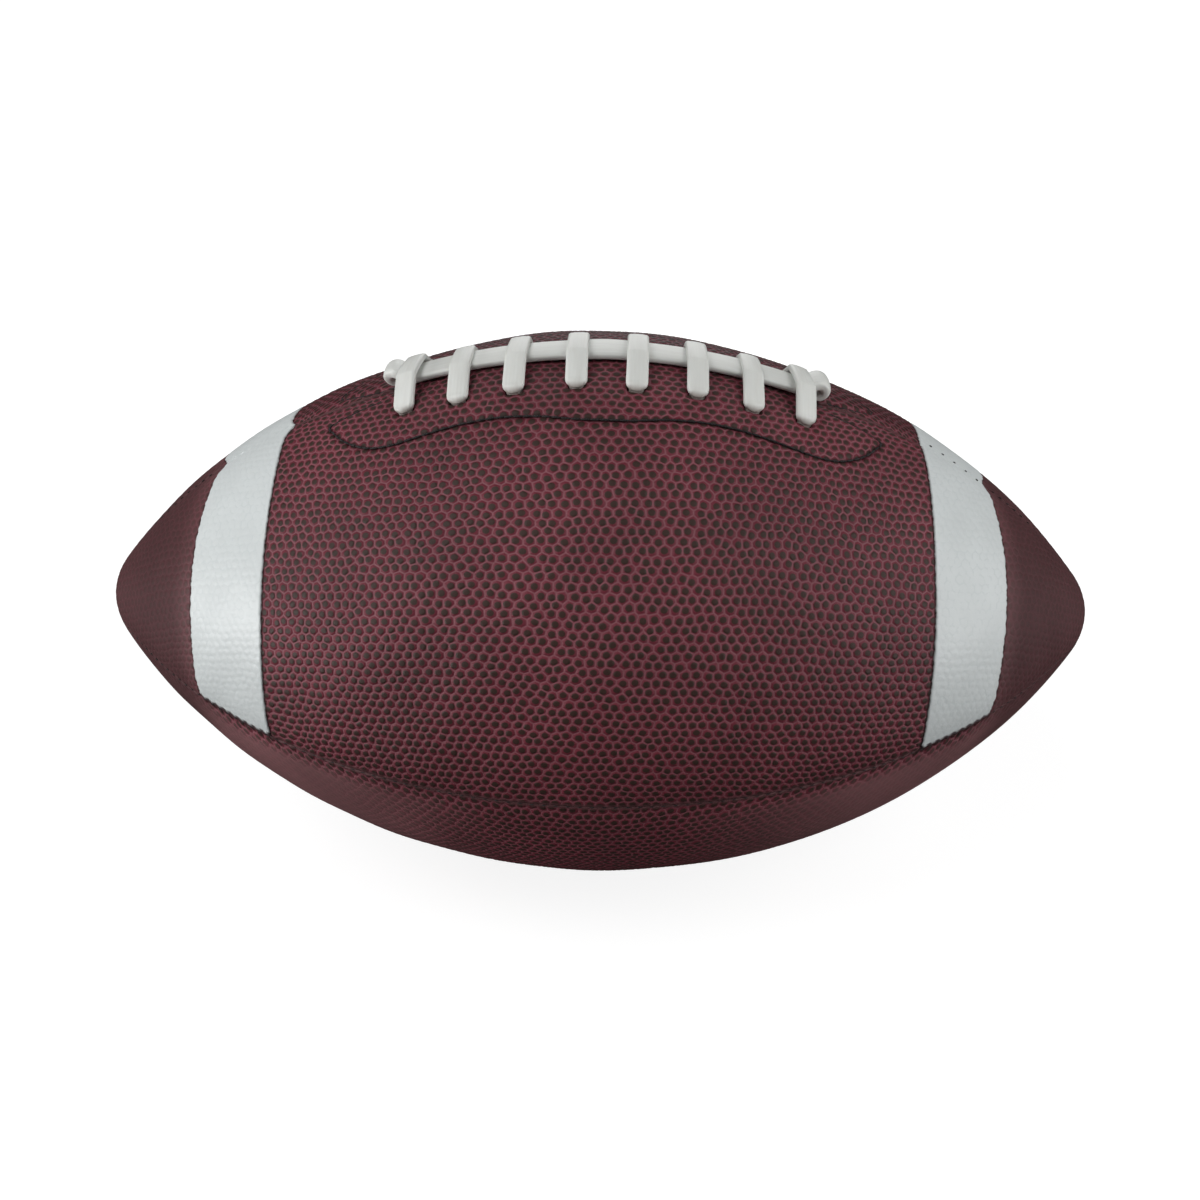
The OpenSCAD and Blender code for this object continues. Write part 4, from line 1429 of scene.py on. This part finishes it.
@dataclass
class StripeBand:
    """White film on one panel at one end, from seam to seam.

    The thinning, the darker edge and the painted shade at the seam are a size and the two distances
    from the edge or the seam between which it comes. The ragged edge is made of three waves, each of its own
    length.
    """

    panel: CoverPanel
    end: End
    proud: float = 0.06
    sunk: float = 0.3
    overlap: float = 0.14
    thinned: tuple = (0.2, 0.4, 0.0)
    ragged: float = 0.2
    ragged_reach: float = 0.3
    ragged_runs: tuple = (0.63, 2.7, 1.9)
    ragged_swing: float = 1.9
    ragged_shift: float = 0.7
    tooth: float = 0.25
    edge_dark: tuple = (0.55, 0.35, 0.0)
    seam_shade: tuple = (1.0, 1.15, 0.75)
    rounding: float = 1e-6

    @property
    def name(self) -> str:
        """Name of the node that the film stands for."""
        return f"stripe_{self.panel.side.name.lower()}_{self.end.name.lower()}"

    def make(self, relief: PebbleRelief, finish: bpy.types.Material) -> bpy.types.Object:
        """Builds the film and dresses it.

        Args:
            relief: Tree that sinks the net between the pebbles.
            finish: Film material.

        Returns:
            The finished piece.
        """
        panel, columns = self.panel, self.panel.columns()
        shown = slice(columns["wall_a"].stop - 1, columns["wall_b"].start + 1)
        low, high = (panel.form.way_at(x) for x in panel.stripe_span(self.end))
        ways = panel.ways()
        way = ways[(ways >= low - self.rounding) & (ways <= high + self.rounding)]
        from_edge = np.minimum(way - low, high - way)[:, None]
        base, dark = panel.relief(way)
        base += panel.film_seat(from_edge)
        upper = panel.place(way, base + self.proud - fading(*self.thinned, from_edge), self.overlap)
        under = panel.place(way, base - self.sunk)
        run = upper["run"]
        fine, swing, coarse = (run / length for length in self.ragged_runs)
        wobble = np.sin(fine + self.ragged_swing * np.sin(swing)) + np.sin(coarse + self.ragged_shift) / 2
        outward = np.where(way[:, None] < (low + high) / 2, -1, 1)
        bend = np.abs(wobble) * hump(self.ragged, self.ragged_reach, from_edge) * outward
        rows = [np.stack([at["x"] + bend, at["y"], at["z"]], -1)[:, shown] for at in (upper, under)]
        points = np.concatenate([rows[0], rows[1][::-1]], 0).swapaxes(0, 1)

        to_seam = (upper["arc"] - run) + self.tooth * np.sin(way * math.tau / panel.pucker_pitch)[:, None]
        # painted shade along the film's cut edges, partly the paint's own dark edge, and a painted shadow
        # where it runs into the seam
        shade = np.maximum(fading(*self.edge_dark, from_edge), fading(*self.seam_shade, to_seam))
        values = {}
        for key, value in panel.values(way, upper, shade).items():
            face = value.reshape(len(way), columns["all"].stop, -1)[:, shown]
            back = np.zeros_like(face) if key == PEBBLED else face[::-1]
            both = np.concatenate([face, back], 0).swapaxes(0, 1)
            values[key] = both.reshape(-1, 3) if value.ndim == 2 else both.ravel()
        faces = tube_faces(points.shape[0], points.shape[1], panel.side is Side.REAR)
        piece = mesh_object(self.name + "_film", points.reshape(-1, 3), faces, values)
        return relief.apply(piece, finish)


@dataclass
class Lace:
    """One length of flat vinyl lace along its whole route.

    The painted shade of a tuck, the cup and the thicker hook are a size and the two heights over the cover
    between which it comes. Turns are in degrees from straight down into a hole.
    """

    form: BallForm
    layout: LaceLayout
    fine: int = 3
    around: int = 36
    rib_count: int = 5
    rib_mm: float = 0.03
    rib_from: float = 0.8
    section_powers: tuple = (0.48, 0.66)
    tuck_least: float = 0.72
    tuck_narrow: float = 0.62
    tuck_round: float = 2.94
    tuck_sink: float = 0.3
    tuck_shade: tuple = (1.0, 1.1, 0.0)
    cup: tuple = (1.15, 1.1, -0.2)
    face_heights: tuple = (0.3, 1.5)
    edge_drop: float = 0.7
    rear_droop: float = 0.4
    rear_overhang: float = 0.555
    front_overhang: float = 0.74
    front_drop: float = 0.111
    rear_turns: tuple = (0, 12, 24, 36, 48, 60)
    front_turns: tuple = (70, 56, 42, 28, 14, 0)
    back_turns: tuple = (30, 60, 90)
    fall_shares: tuple = (0.25, 0.5, 0.7, 0.84, 0.93)
    fall_foot_share: float = 0.7
    hook_rs: tuple = (1.75, 1.85)
    hook_thicker: tuple = (0.25, 2.3, 3.6)
    half_turned: float = -45.0
    hook_turn: float = 50.0
    hook_sink: float = 0.1
    hook_points: int = 8
    turn_r: float = 3.1
    turn_shares: tuple = (0.12, 0.5, 0.85)
    tail: float = 7.0
    slant_from: float = 0.04
    slant_bend: float = 0.14
    slant_shares: tuple = (0.11, 0.18, 0.3, 0.5, 0.7, 0.82, 0.89)

    @property
    def bend_r(self) -> float:
        """Radius of the lace's middle round the edge of a hole."""
        return self.layout.thick / 2 + self.layout.gap

    def tuck_width(self, turn: float) -> float:
        """Share of its width that the lace keeps on its way round the edge of a hole."""
        in_hole = (self.bend_r + self.layout.thick / 2) * (1 - math.cos(math.radians(turn)))
        left = min(in_hole / self.tuck_round, 1)
        full = self.tuck_narrow + (1 - self.tuck_narrow) * math.sqrt(1 - (1 - left) ** 2)
        return max(self.tuck_least, full)

    def hole_bend(self, index: int, side: Side, turns: Sequence[float]) -> list:
        """Bend of a cross stitch round the inner edge of its hole."""
        r, (x, reach) = self.bend_r, self.layout.hole(index, side)
        return [[x, side.value * (reach - r + r * math.cos(math.radians(t))),
                 r * math.sin(math.radians(t)) - self.tuck_sink, 0, self.layout.width * self.tuck_width(t)]
                for t in turns]

    def back_bend(self, x: float, s: float, way: tuple[float, float]) -> list:
        """Bend behind the cover, out of the straight part in a hole."""
        r, rows = self.bend_r, []
        for t in self.back_turns:
            out = r * (1 - math.cos(math.radians(t)))
            rows.append([x + way[0] * out, s + way[1] * out,
                         r * (1 - math.sin(math.radians(t))) - self.layout.run_depth, 0, self.layout.width])
        return rows

    def stitch(self, index: int) -> list:
        """One cross stitch, out of its rear hole, over the strand and into its front hole."""
        lay, r = self.layout, self.bend_r
        (x, reach), (rear_x, rear_reach) = lay.hole(index, Side.FRONT), lay.hole(index, Side.REAR)
        top = lay.strand_height(x) + (lay.strand_thick + lay.thick) / 2 + lay.pulls[index].lift
        near, far = (lay.strand_shift + part * lay.strand_width / 2 for part in (1, -1))
        strips, wide = lay.run_depth - r, lay.width
        start, stop = far - self.front_overhang, r * self.fall_foot_share - reach
        held = top - self.front_drop
        rows = [[x, rear_reach, -e, 0, wide * self.tuck_width(0)] for e in (strips, strips / 2)]
        rows += self.hole_bend(index, Side.REAR, self.rear_turns)
        rows.append([x, near + self.rear_overhang, top - self.edge_drop, 0, wide])
        rows += [[x, near * u + far * (1 - u), top - self.rear_droop * u ** 3, 0, wide] for u in (1, 0.5, 0)]
        rows.append([x, start, held, 0, wide])
        rows += [[x, start + (stop - start) * u, held + (r - self.tuck_sink - top) * u, 0, wide]
                 for u in self.fall_shares]
        rows += self.hole_bend(index, Side.FRONT, self.front_turns)
        rows += [[x, -reach, -e, 0, wide * self.tuck_width(0)] for e in (strips / 2, strips)]
        for row in rows:
            row[0] = x + (rear_x - x) * (row[1] + reach) / (rear_reach + reach)
        return rows

    def slant(self, u: float) -> float:
        """Share of the way along the ball at a share of the way across it."""
        v = (u - self.slant_from) / (1 - 2 * self.slant_from)
        bend = self.slant_bend
        ease = 2 * bend * (1 - bend)
        if v < bend:
            return v * v / ease
        if v > 1 - bend:
            return 1 - (1 - v) ** 2 / ease
        return (v - bend / 2) / (1 - bend)

    def back_run(self, index: int) -> list:
        """Run behind the cover from one front hole to the next rear hole."""
        lay = self.layout
        (x, front), (following, rear) = lay.hole(index, Side.FRONT), lay.hole(index + 1, Side.REAR)
        near, far = self.bend_r - front, rear - self.bend_r
        shares = (self.slant_from, *self.slant_shares, 1 - self.slant_from)
        middle = [[x + (following - x) * self.slant(u), near + (far - near) * u, -lay.run_depth, 0,
                   lay.width] for u in shares]
        return (self.back_bend(x, -front, (0, 1)) + middle
                + self.back_bend(following, rear, (0, -1))[::-1])

    def end_turn(self) -> list:
        """Run behind the cover from the last front hole, round to the right slit and up through it."""
        lay, r = self.layout, self.bend_r
        x, reach = lay.hole(lay.stitches - 1, Side.FRONT)
        slit = lay.shift + lay.slit_at(End.RIGHT)
        shift = lay.slit_shifts[1]
        mid, near, bend = slit - r, r - reach, shift - self.turn_r
        rows = self.back_bend(x, -reach, (0, 1))
        rows += [[x + (mid - self.turn_r - x) * smooth_step(0, 1, u), near + (bend - near) * u,
                  -lay.run_depth, 0, lay.width] for u in self.turn_shares]
        rows += [[mid - self.turn_r * math.cos(math.radians(t)),
                  shift + self.turn_r * (math.sin(math.radians(t)) - 1), -lay.run_depth, -t, lay.width]
                 for t in range(0, 91, 18)]
        rows += [[mid + r * math.sin(math.radians(t)), shift,
                  -lay.run_depth + r * (1 - math.cos(math.radians(t))), -90, lay.width] for t in (30, 60)]
        strips = lay.run_depth - r
        return rows + [[slit, shift, -e, -90, lay.width] for e in (strips, strips / 2)]

    def hook(self, end: End) -> list:
        """Hook of the strand's end, from its slit up, over and down to the strand."""
        lay, r, rad = self.layout, self.hook_rs[end is End.RIGHT], math.radians
        lean = fall = self.hook_turn
        mid = (r - 2 * r * math.cos(rad(lean)), 2 * r * math.sin(rad(lean)) - self.hook_sink)
        level = lay.strand_height(lay.station(lay.stitches - 1 if end is End.RIGHT else 0))
        drop = mid[1] + r * math.cos(rad(fall)) - level - r * (1 - math.cos(rad(fall)))
        foot = mid[0] - 2 * r * math.sin(rad(fall)) - drop / math.tan(rad(fall))
        line = [(r * (1 - math.cos(rad(t))), r * math.sin(rad(t)) - self.hook_sink) for t in (0, lean / 2)]
        for k in range(self.hook_points):
            t = rad(90 - lean + (90 + lean + fall) * k / (self.hook_points - 1))
            line.append((mid[0] + r * math.sin(t), mid[1] - r * math.cos(t)))
        line += [(foot + r * math.sin(rad(t)), level + r * (1 - math.cos(rad(t))))
                 for t in (fall, fall / 2, 0)]
        rows = []
        wide, shift = (values[end is End.RIGHT] for values in (lay.slit_widths, lay.slit_shifts))
        for i, (out, up) in enumerate(line):
            u = smooth_step(0, 1, i / (len(line) - 1))
            rows.append([lay.shift + end.value * (lay.slit_at(end) + out),
                         shift + (lay.strand_shift - shift) * u, up, -90,
                         wide + (lay.strand_width - wide) * u])
        return rows

    def route(self) -> np.ndarray:
        """Whole route: rows of place along, way round, height, turn of the width and width."""
        lay, r = self.layout, self.bend_r
        first, last = lay.station(0), lay.station(lay.stitches - 1)
        left = lay.shift - lay.slit_at(End.LEFT)
        strips = lay.run_depth - r
        x, reach = lay.hole(0, Side.REAR)
        rows = [[x, reach + r + self.tail * u, -lay.run_depth, 0, lay.width] for u in (1, 0.5)]
        rows += self.back_bend(x, reach, (0, 1))[::-1]
        for index in range(lay.stitches):
            rows += self.stitch(index)
            if index < lay.stitches - 1:
                rows += self.back_run(index)
        rows += self.end_turn() + self.hook(End.RIGHT)
        for x in np.arange(last, first - 0.01, -lay.pitch / 4):
            more = hump(lay.strand_mid, lay.strand_mid_run, x - lay.shift)
            rows.append([x, lay.strand_shift + more / 2, lay.strand_height(x), -90, lay.strand_width + more])
        rows += self.hook(End.LEFT)[::-1]
        shift = lay.slit_shifts[0]
        rows += [[left, shift, -e, -90, lay.width] for e in (strips / 2, strips)]
        rows += [[left - r * (1 - math.cos(math.radians(t))), shift,
                  r * (1 - math.sin(math.radians(t))) - lay.run_depth, -90, lay.width] for t in (30, 60, 90)]
        rows += [[left - r - self.tail * u, shift, -lay.run_depth, -90, lay.width] for u in (0.5, 1)]
        return np.array(rows, float)

    def section(self) -> np.ndarray:
        """Rounded outline of the band in shares of its half width and half thickness."""
        turn = np.linspace(0, math.tau, self.around, endpoint=False)
        round_one = np.stack([np.cos(turn), np.sin(turn)], -1)
        return np.sign(round_one) * np.abs(round_one) ** np.array(self.section_powers)

    def make(self, finish: bpy.types.Material) -> bpy.types.Object:
        """Sweeps the band along its route and dresses it.

        Args:
            finish: Lace material.

        Returns:
            The finished piece.
        """
        route = self.route()
        x, s, h, twist, width = route.T
        at = self.form.on_skin(x, s, h)
        slope, turn = self.form.slope_at(x), s / self.form.belly_at(x)
        along = np.stack([np.cos(slope), -np.sin(slope) * np.sin(turn), -np.sin(slope) * np.cos(turn)], -1)
        round_it = np.stack([np.zeros_like(x), np.cos(turn), -np.sin(turn)], -1)
        on_edge = twist < self.half_turned
        thicker = self.layout.strand_thick - self.layout.thick
        half = (self.layout.thick + thicker * smooth_step(*self.face_heights, h) * on_edge) / 2
        half += fading(*self.hook_thicker, h) * on_edge
        twist = np.radians(twist)[:, None]
        hint = np.cos(twist) * along + np.sin(twist) * round_it
        line = catmull(np.column_stack([at, hint, width, h, half]), self.fine)
        middle, hint, width, h, half = line[:, :3], line[:, 3:6], line[:, 6], line[:, 7], line[:, 8]
        run = np.gradient(middle, axis=0)
        run /= np.linalg.norm(run, axis=1, keepdims=True)
        wide = hint - (hint * run).sum(1, keepdims=True) * run
        wide /= np.linalg.norm(wide, axis=1, keepdims=True)
        up = np.cross(run, wide)
        shape = self.section()
        ribs = self.rib_mm * np.cos(self.rib_count * math.pi * shape[:, 0])
        ribs *= np.sign(shape[:, 1]) * (np.abs(shape[:, 1]) > self.rib_from)
        rise = shape[:, 1] * half[:, None] + ribs - fading(*self.cup, h)[:, None] * shape[:, 0] ** 2
        points = (middle[:, None] + wide[:, None] * (shape[:, 0] * width[:, None] / 2)[..., None]
                  + up[:, None] * rise[..., None])
        way = np.concatenate([[0], np.cumsum(np.linalg.norm(np.diff(middle, axis=0), axis=1))])
        size = (len(way), self.around)
        run_value = np.stack([np.broadcast_to(way[:, None], size), shape[:, 0] * width[:, None] / 2,
                              rise], -1)
        # painted shade where the lace goes into the cover
        tuck = np.broadcast_to(fading(*self.tuck_shade, h)[:, None], size)
        faces = tube_faces(len(way), self.around, False)
        piece = mesh_object("lace_band", points.reshape(-1, 3), faces,
                            {RUN: run_value.reshape(-1, 3), TUCK_SHADE: tuck.ravel()})
        piece.data.materials.append(finish)
        return piece


@dataclass
class SewnLine:
    """Row of thread stitches along a line on the cover."""

    name: str
    points: np.ndarray
    outward: np.ndarray

    def make(self, row: StitchRow, finish: bpy.types.Material) -> bpy.types.Object:
        """Lays the stitches.

        Args:
            row: Tree that lays them.
            finish: Thread material.

        Returns:
            The finished piece.
        """
        edges = [(i, i + 1) for i in range(len(self.points) - 1)]
        piece = mesh_object(self.name, self.points, [], {OUTWARD: self.outward}, edges)
        row.apply(piece, finish)
        piece.data.shade_smooth()
        return piece


@dataclass
class Stitching:
    """All the thread that shows on the cover."""

    form: BallForm
    layout: LaceLayout
    seam_depth: float = 0.3
    seam_clear: float = 9.0
    seam_points: int = 160
    top_from: float = 107.0
    outline_fine: int = 12
    outline_sunk: tuple = (0.4, 9.0, 5.5)
    rear_sunk: float = 0.2
    marks_from: tuple = (87.7, 4.2)
    marks_to: tuple = (101.1, 0.9)
    marks_sunk: float = 0.02
    marks_points: int = 30

    def outline(self, side: Side) -> SewnLine:
        """Line sewn round the laces on one side."""
        x, s = self.layout.outline(self.outline_fine).T
        sunk = fading(*self.outline_sunk, s) + self.rear_sunk * (side is Side.REAR)
        low = self.form.on_skin(x, side.value * s, -sunk)
        high = self.form.on_skin(x, side.value * s, 1.0)
        return SewnLine(f"outline_stitches_{side.name.lower()}", low, high - low)

    def seam(self, name: str, turn: float | None, start: float, stop: float) -> SewnLine:
        """Thread that shows deep in one seam.

        Args:
            name: Name of the piece.
            turn: Angle of the seam from straight up, none for the lace seam with its own way.
            start: Way along the face where it starts.
            stop: Way along the face where it ends.

        Returns:
            The line.
        """
        x, r, slope = self.form.along(np.linspace(start, stop, self.seam_points))
        turn = self.form.seam_at(x) / r if turn is None else np.full(x.shape, turn)
        deep = self.seam_depth
        radius = r - deep * np.cos(slope)
        points = np.stack([x - deep * np.sin(slope), radius * np.sin(turn),
                           self.form.axis_z + radius * np.cos(turn)], -1)
        outward = np.stack([np.sin(slope), np.cos(slope) * np.sin(turn), np.cos(slope) * np.cos(turn)], -1)
        return SewnLine(name, points, outward)

    def stripe_marks(self) -> SewnLine:
        """Five stitches that show through the film beside the lace seam at the right."""
        x, s = np.linspace(self.marks_from, self.marks_to, self.marks_points).T
        points = self.form.on_skin(x, s, -self.marks_sunk)
        return SewnLine("stripe_marks_right", points, np.broadcast_to((0.0, 0.0, 1.0), points.shape))

    def seams(self) -> list[SewnLine]:
        """Thread in every seam."""
        half = self.form.half_way - self.seam_clear
        outer = self.form.way_at(self.top_from)
        runs = {"front": (-math.pi / 2, -half, half), "rear": (math.pi / 2, -half, half),
                "bottom": (math.pi, -half, half), "top_left": (None, -half, -outer),
                "top_right": (None, outer, half)}
        return [self.seam("seam_stitches_" + key, *run) for key, run in runs.items()]


@dataclass
class Studio:
    """Pale floor, soft light and the camera of the reference view.

    Places are in metres from the ball's middle and power is in watts, the lens and its sensor are in
    millimetres.
    """

    axis: Vector
    distance: float = 0.3253
    elevation: float = 40.6
    aside: float = 0.0067
    roll: float = 1.24
    lens: float = 33.0
    sensor: float = 36.0
    clips: tuple[float, float] = (0.01, 20.0)
    shift: tuple[float, float] = (-0.01975, 0.0023)
    lamp_size: float = 0.6
    lamps: tuple = (("left_low_softbox", (-0.92, -0.39, -0.05), 11.0),
                    ("left_high_softbox", (-0.6, -0.15, 0.8), 4.8),
                    ("right_side_softbox", (0.98, -0.1, 0.05), 1.8),
                    ("right_high_softbox", (0.7, -0.15, 0.7), 3.9),
                    ("right_low_softbox", (0.91, -0.44, -0.05), 4.7),
                    ("rear_softbox", (0.0, 0.9, 0.3), 2.0))
    sky: float = 0.03
    floor_half: float = 6.0
    floor_dull: str = "404040"
    floor_paper: str = "989898"
    glow_reach: tuple = (0.16, 0.4)
    glow_levels: tuple = (0.84, 1.05)

    def camera(self) -> bpy.types.Object:
        """Camera at the reference view."""
        data = bpy.data.cameras.new("camera")
        data.lens, data.sensor_width = self.lens, self.sensor
        data.shift_x, data.shift_y = self.shift
        data.clip_start, data.clip_end = self.clips
        camera = new_object("camera", data)
        tilt = math.radians(self.elevation)
        back = Vector((0, -math.cos(tilt), math.sin(tilt)))
        camera.location = self.axis + back * self.distance + Vector((self.aside, 0, 0))
        facing = (-back).to_track_quat("-Z", "Y").to_matrix()
        turned = facing @ Matrix.Rotation(math.radians(self.roll), 3, "Z")
        camera.rotation_euler = turned.to_euler()
        bpy.context.scene.camera = camera
        return camera

    def lamp(self, name: str, place: tuple[float, float, float], power: float) -> None:
        """Soft square lamp aimed at the ball.

        Args:
            name: Name of the lamp.
            place: Its place, from the ball's middle.
            power: Its power.
        """
        data = bpy.data.lights.new(name, "AREA")
        data.size, data.energy = self.lamp_size, power
        lamp = new_object(name, data)
        lamp.location = self.axis + Vector(place)
        lamp.rotation_euler = (-Vector(place)).to_track_quat("-Z", "Y").to_euler()

    def white_floor(self) -> bpy.types.Object:
        """Floor under the ball, white to the camera and duller to the light that it throws back."""
        corners = np.array([(-1, -1, 0), (1, -1, 0), (1, 1, 0), (-1, 1, 0)]) * self.floor_half / MM
        floor = mesh_object("floor", corners, [(0, 1, 2, 3)])
        material, tree, _ = blank_material("white_studio_paper")
        tree.nodes.clear()
        dull = add(tree, "ShaderNodeBsdfDiffuse", {}, {"Color": linear(self.floor_dull)})
        paper = add(tree, "ShaderNodeBsdfDiffuse", {}, {"Color": linear(self.floor_paper)})
        spot = add(tree, "ShaderNodeTexCoord").outputs["Object"]
        away = vector(tree, "LENGTH", spot).outputs["Value"]
        fade = ramp(tree, away, *self.glow_reach, *self.glow_levels, smooth=False)
        glow = add(tree, "ShaderNodeEmission", {}, {"Color": (1, 1, 1, 1), "Strength": fade})
        bright = add(tree, "ShaderNodeAddShader", {}, {0: paper.outputs[0], 1: glow.outputs[0]})
        self.to_camera(tree, dull, bright, "ShaderNodeOutputMaterial")
        floor.data.materials.append(material)
        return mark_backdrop(floor)

    @staticmethod
    def to_camera(tree: bpy.types.NodeTree, other: bpy.types.Node, seen: bpy.types.Node, end: str) -> None:
        """Shows one shader to the camera and another to all other rays.

        Args:
            tree: Node tree.
            other: Shader for all other rays.
            seen: Shader for the camera's rays.
            end: Blender's type name of the tree's output node.
        """
        ray = add(tree, "ShaderNodeLightPath").outputs["Is Camera Ray"]
        mixed = add(tree, "ShaderNodeMixShader", {}, {0: ray, 1: other.outputs[0], 2: seen.outputs[0]})
        add(tree, end, {}, {"Surface": mixed.outputs[0]})

    def sky_light(self) -> None:
        """Even white surroundings: full white to the camera, softer as light."""
        world = bpy.data.worlds.new("studio")
        world.use_nodes = True
        tree = world.node_tree
        tree.nodes.clear()
        soft = add(tree, "ShaderNodeBackground", {}, {"Color": (1, 1, 1, 1), "Strength": self.sky})
        full = add(tree, "ShaderNodeBackground", {}, {"Color": (1, 1, 1, 1), "Strength": 1.0})
        self.to_camera(tree, soft, full, "ShaderNodeOutputWorld")
        bpy.context.scene.world = world

    def build(self) -> None:
        """Sets up camera, light, floor and surroundings."""
        self.camera()
        for name, place, power in self.lamps:
            self.lamp(name, place, power)
        self.white_floor()
        self.sky_light()
        bpy.context.scene.view_settings.view_transform = "Standard"


@dataclass
class HiddenLayers:
    """Solids of the frame that stay as they are and get their own finishes."""

    fabric: PlainFinish = PlainFinish("woven_nylon_backing", "CFC8B6", "A79F8C", 0.85, Weave.CLOTH, 0.8)
    backing: PlainFinish = PlainFinish("split_leather_backing", "5D3A35", "45292A", 0.9, Weave.SUEDE, 0.6)
    thread: PlainFinish = PlainFinish("waxed_nylon_thread", "181112", "0D0909", 0.7, Weave.TWIST, 0.35)
    rubber: PlainFinish = PlainFinish("butyl_rubber", "343335", "262527", 0.6, Weave.MOULD, 3.0)
    valve: PlainFinish = PlainFinish("moulded_valve_rubber", "242324", "171617", 0.5, Weave.MOULD, 1.2, 0.05)
    core: PlainFinish = PlainFinish("greased_valve_rubber", "3A3233", "2A2425", 0.35, Weave.MOULD, 1.0, 0.04)

    def dress(self, nodes: dict[str, bpy.types.Object]) -> int:
        """Gives every solid that stays its finish.

        Args:
            nodes: The frame's nodes by name.

        Returns:
            Number of solids dressed.
        """
        starts = {"lining": self.fabric, "placket_front": self.backing, "placket_rear": self.backing,
                  "tongue": self.backing, "seam_thread": self.thread, "bladder": self.rubber,
                  "valve_housing": self.valve, "valve_core": self.core}
        made = {}
        count = 0
        for name, node in nodes.items():
            finish = next((f for start, f in starts.items() if name.startswith(start)), None)
            if finish is None or node.hide_render:
                continue
            if finish.name not in made:
                made[finish.name] = finish.build()
            for slot in node.material_slots:
                slot.material = made[finish.name]
            count += 1
        return count


def corners() -> list[list[float]]:
    """Lowest and highest corner of what is shown, as plain lists."""
    return [list(corner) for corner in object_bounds()]


def place(piece: bpy.types.Object, slot: str, *nodes: str) -> None:
    """Makes a piece ride on the ball, hides the nodes that it replaces and logs its triangles.

    Args:
        piece: The finished piece.
        slot: Material slot; not used.
        nodes: Nodes of the frame that it replaces.
    """
    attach(piece, BODY)
    if nodes:
        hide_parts(*nodes)
    piece.data.calc_loop_triangles()
    log.info("%s: %d triangles", piece.name, len(piece.data.loop_triangles))


def main() -> None:
    """Builds the ball piece by piece."""
    logging.basicConfig(level=logging.INFO, format="%(name)s: %(message)s")
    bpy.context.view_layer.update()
    form, layout = BallForm(), LaceLayout()
    Studio(Vector((0, 0, form.axis_z * MM))).build()

    hide = PebbledHide()
    leather, film = hide.build(), StripeFilm().build()
    relief = PebbleRelief("pebble_relief", hide, relief_mm=0.2)
    film_relief = PebbleRelief("film_relief", hide, relief_mm=0.05)
    for level in Level:
        for side in Side:
            panel = CoverPanel(form, layout, side, level)
            place(panel.make(relief, leather), "cover", panel.name)
            if level is Level.UPPER:
                for end in End:
                    band = StripeBand(panel, end)
                    place(band.make(film_relief, film), "stripe_film", band.name)

    place(Lace(form, layout).make(LaceVinyl().build()), "lace_vinyl", "lace")

    layers = HiddenLayers()
    thread = layers.thread.build()
    sewing = Stitching(form, layout)
    row = StitchRow("outline_stitch_row", pitch_mm=2.3, length_mm=2.6, thick_mm=0.56)
    for side in Side:
        place(sewing.outline(side).make(row, thread), "thread", f"placket_stitch_{side.name.lower()}")
    mark_row = StitchRow("stripe_mark_row", pitch_mm=3.3, length_mm=0.9, thick_mm=0.45)
    place(sewing.stripe_marks().make(mark_row, thread), "thread")
    deep_row = StitchRow("seam_stitch_row", pitch_mm=2.9, length_mm=1.2, thick_mm=0.26)
    for line in sewing.seams():
        place(line.make(deep_row, thread), "thread")
    log.info("%d solids of the frame dressed", layers.dress(frame["nodes"]))


if __name__ == "__main__":
    main()
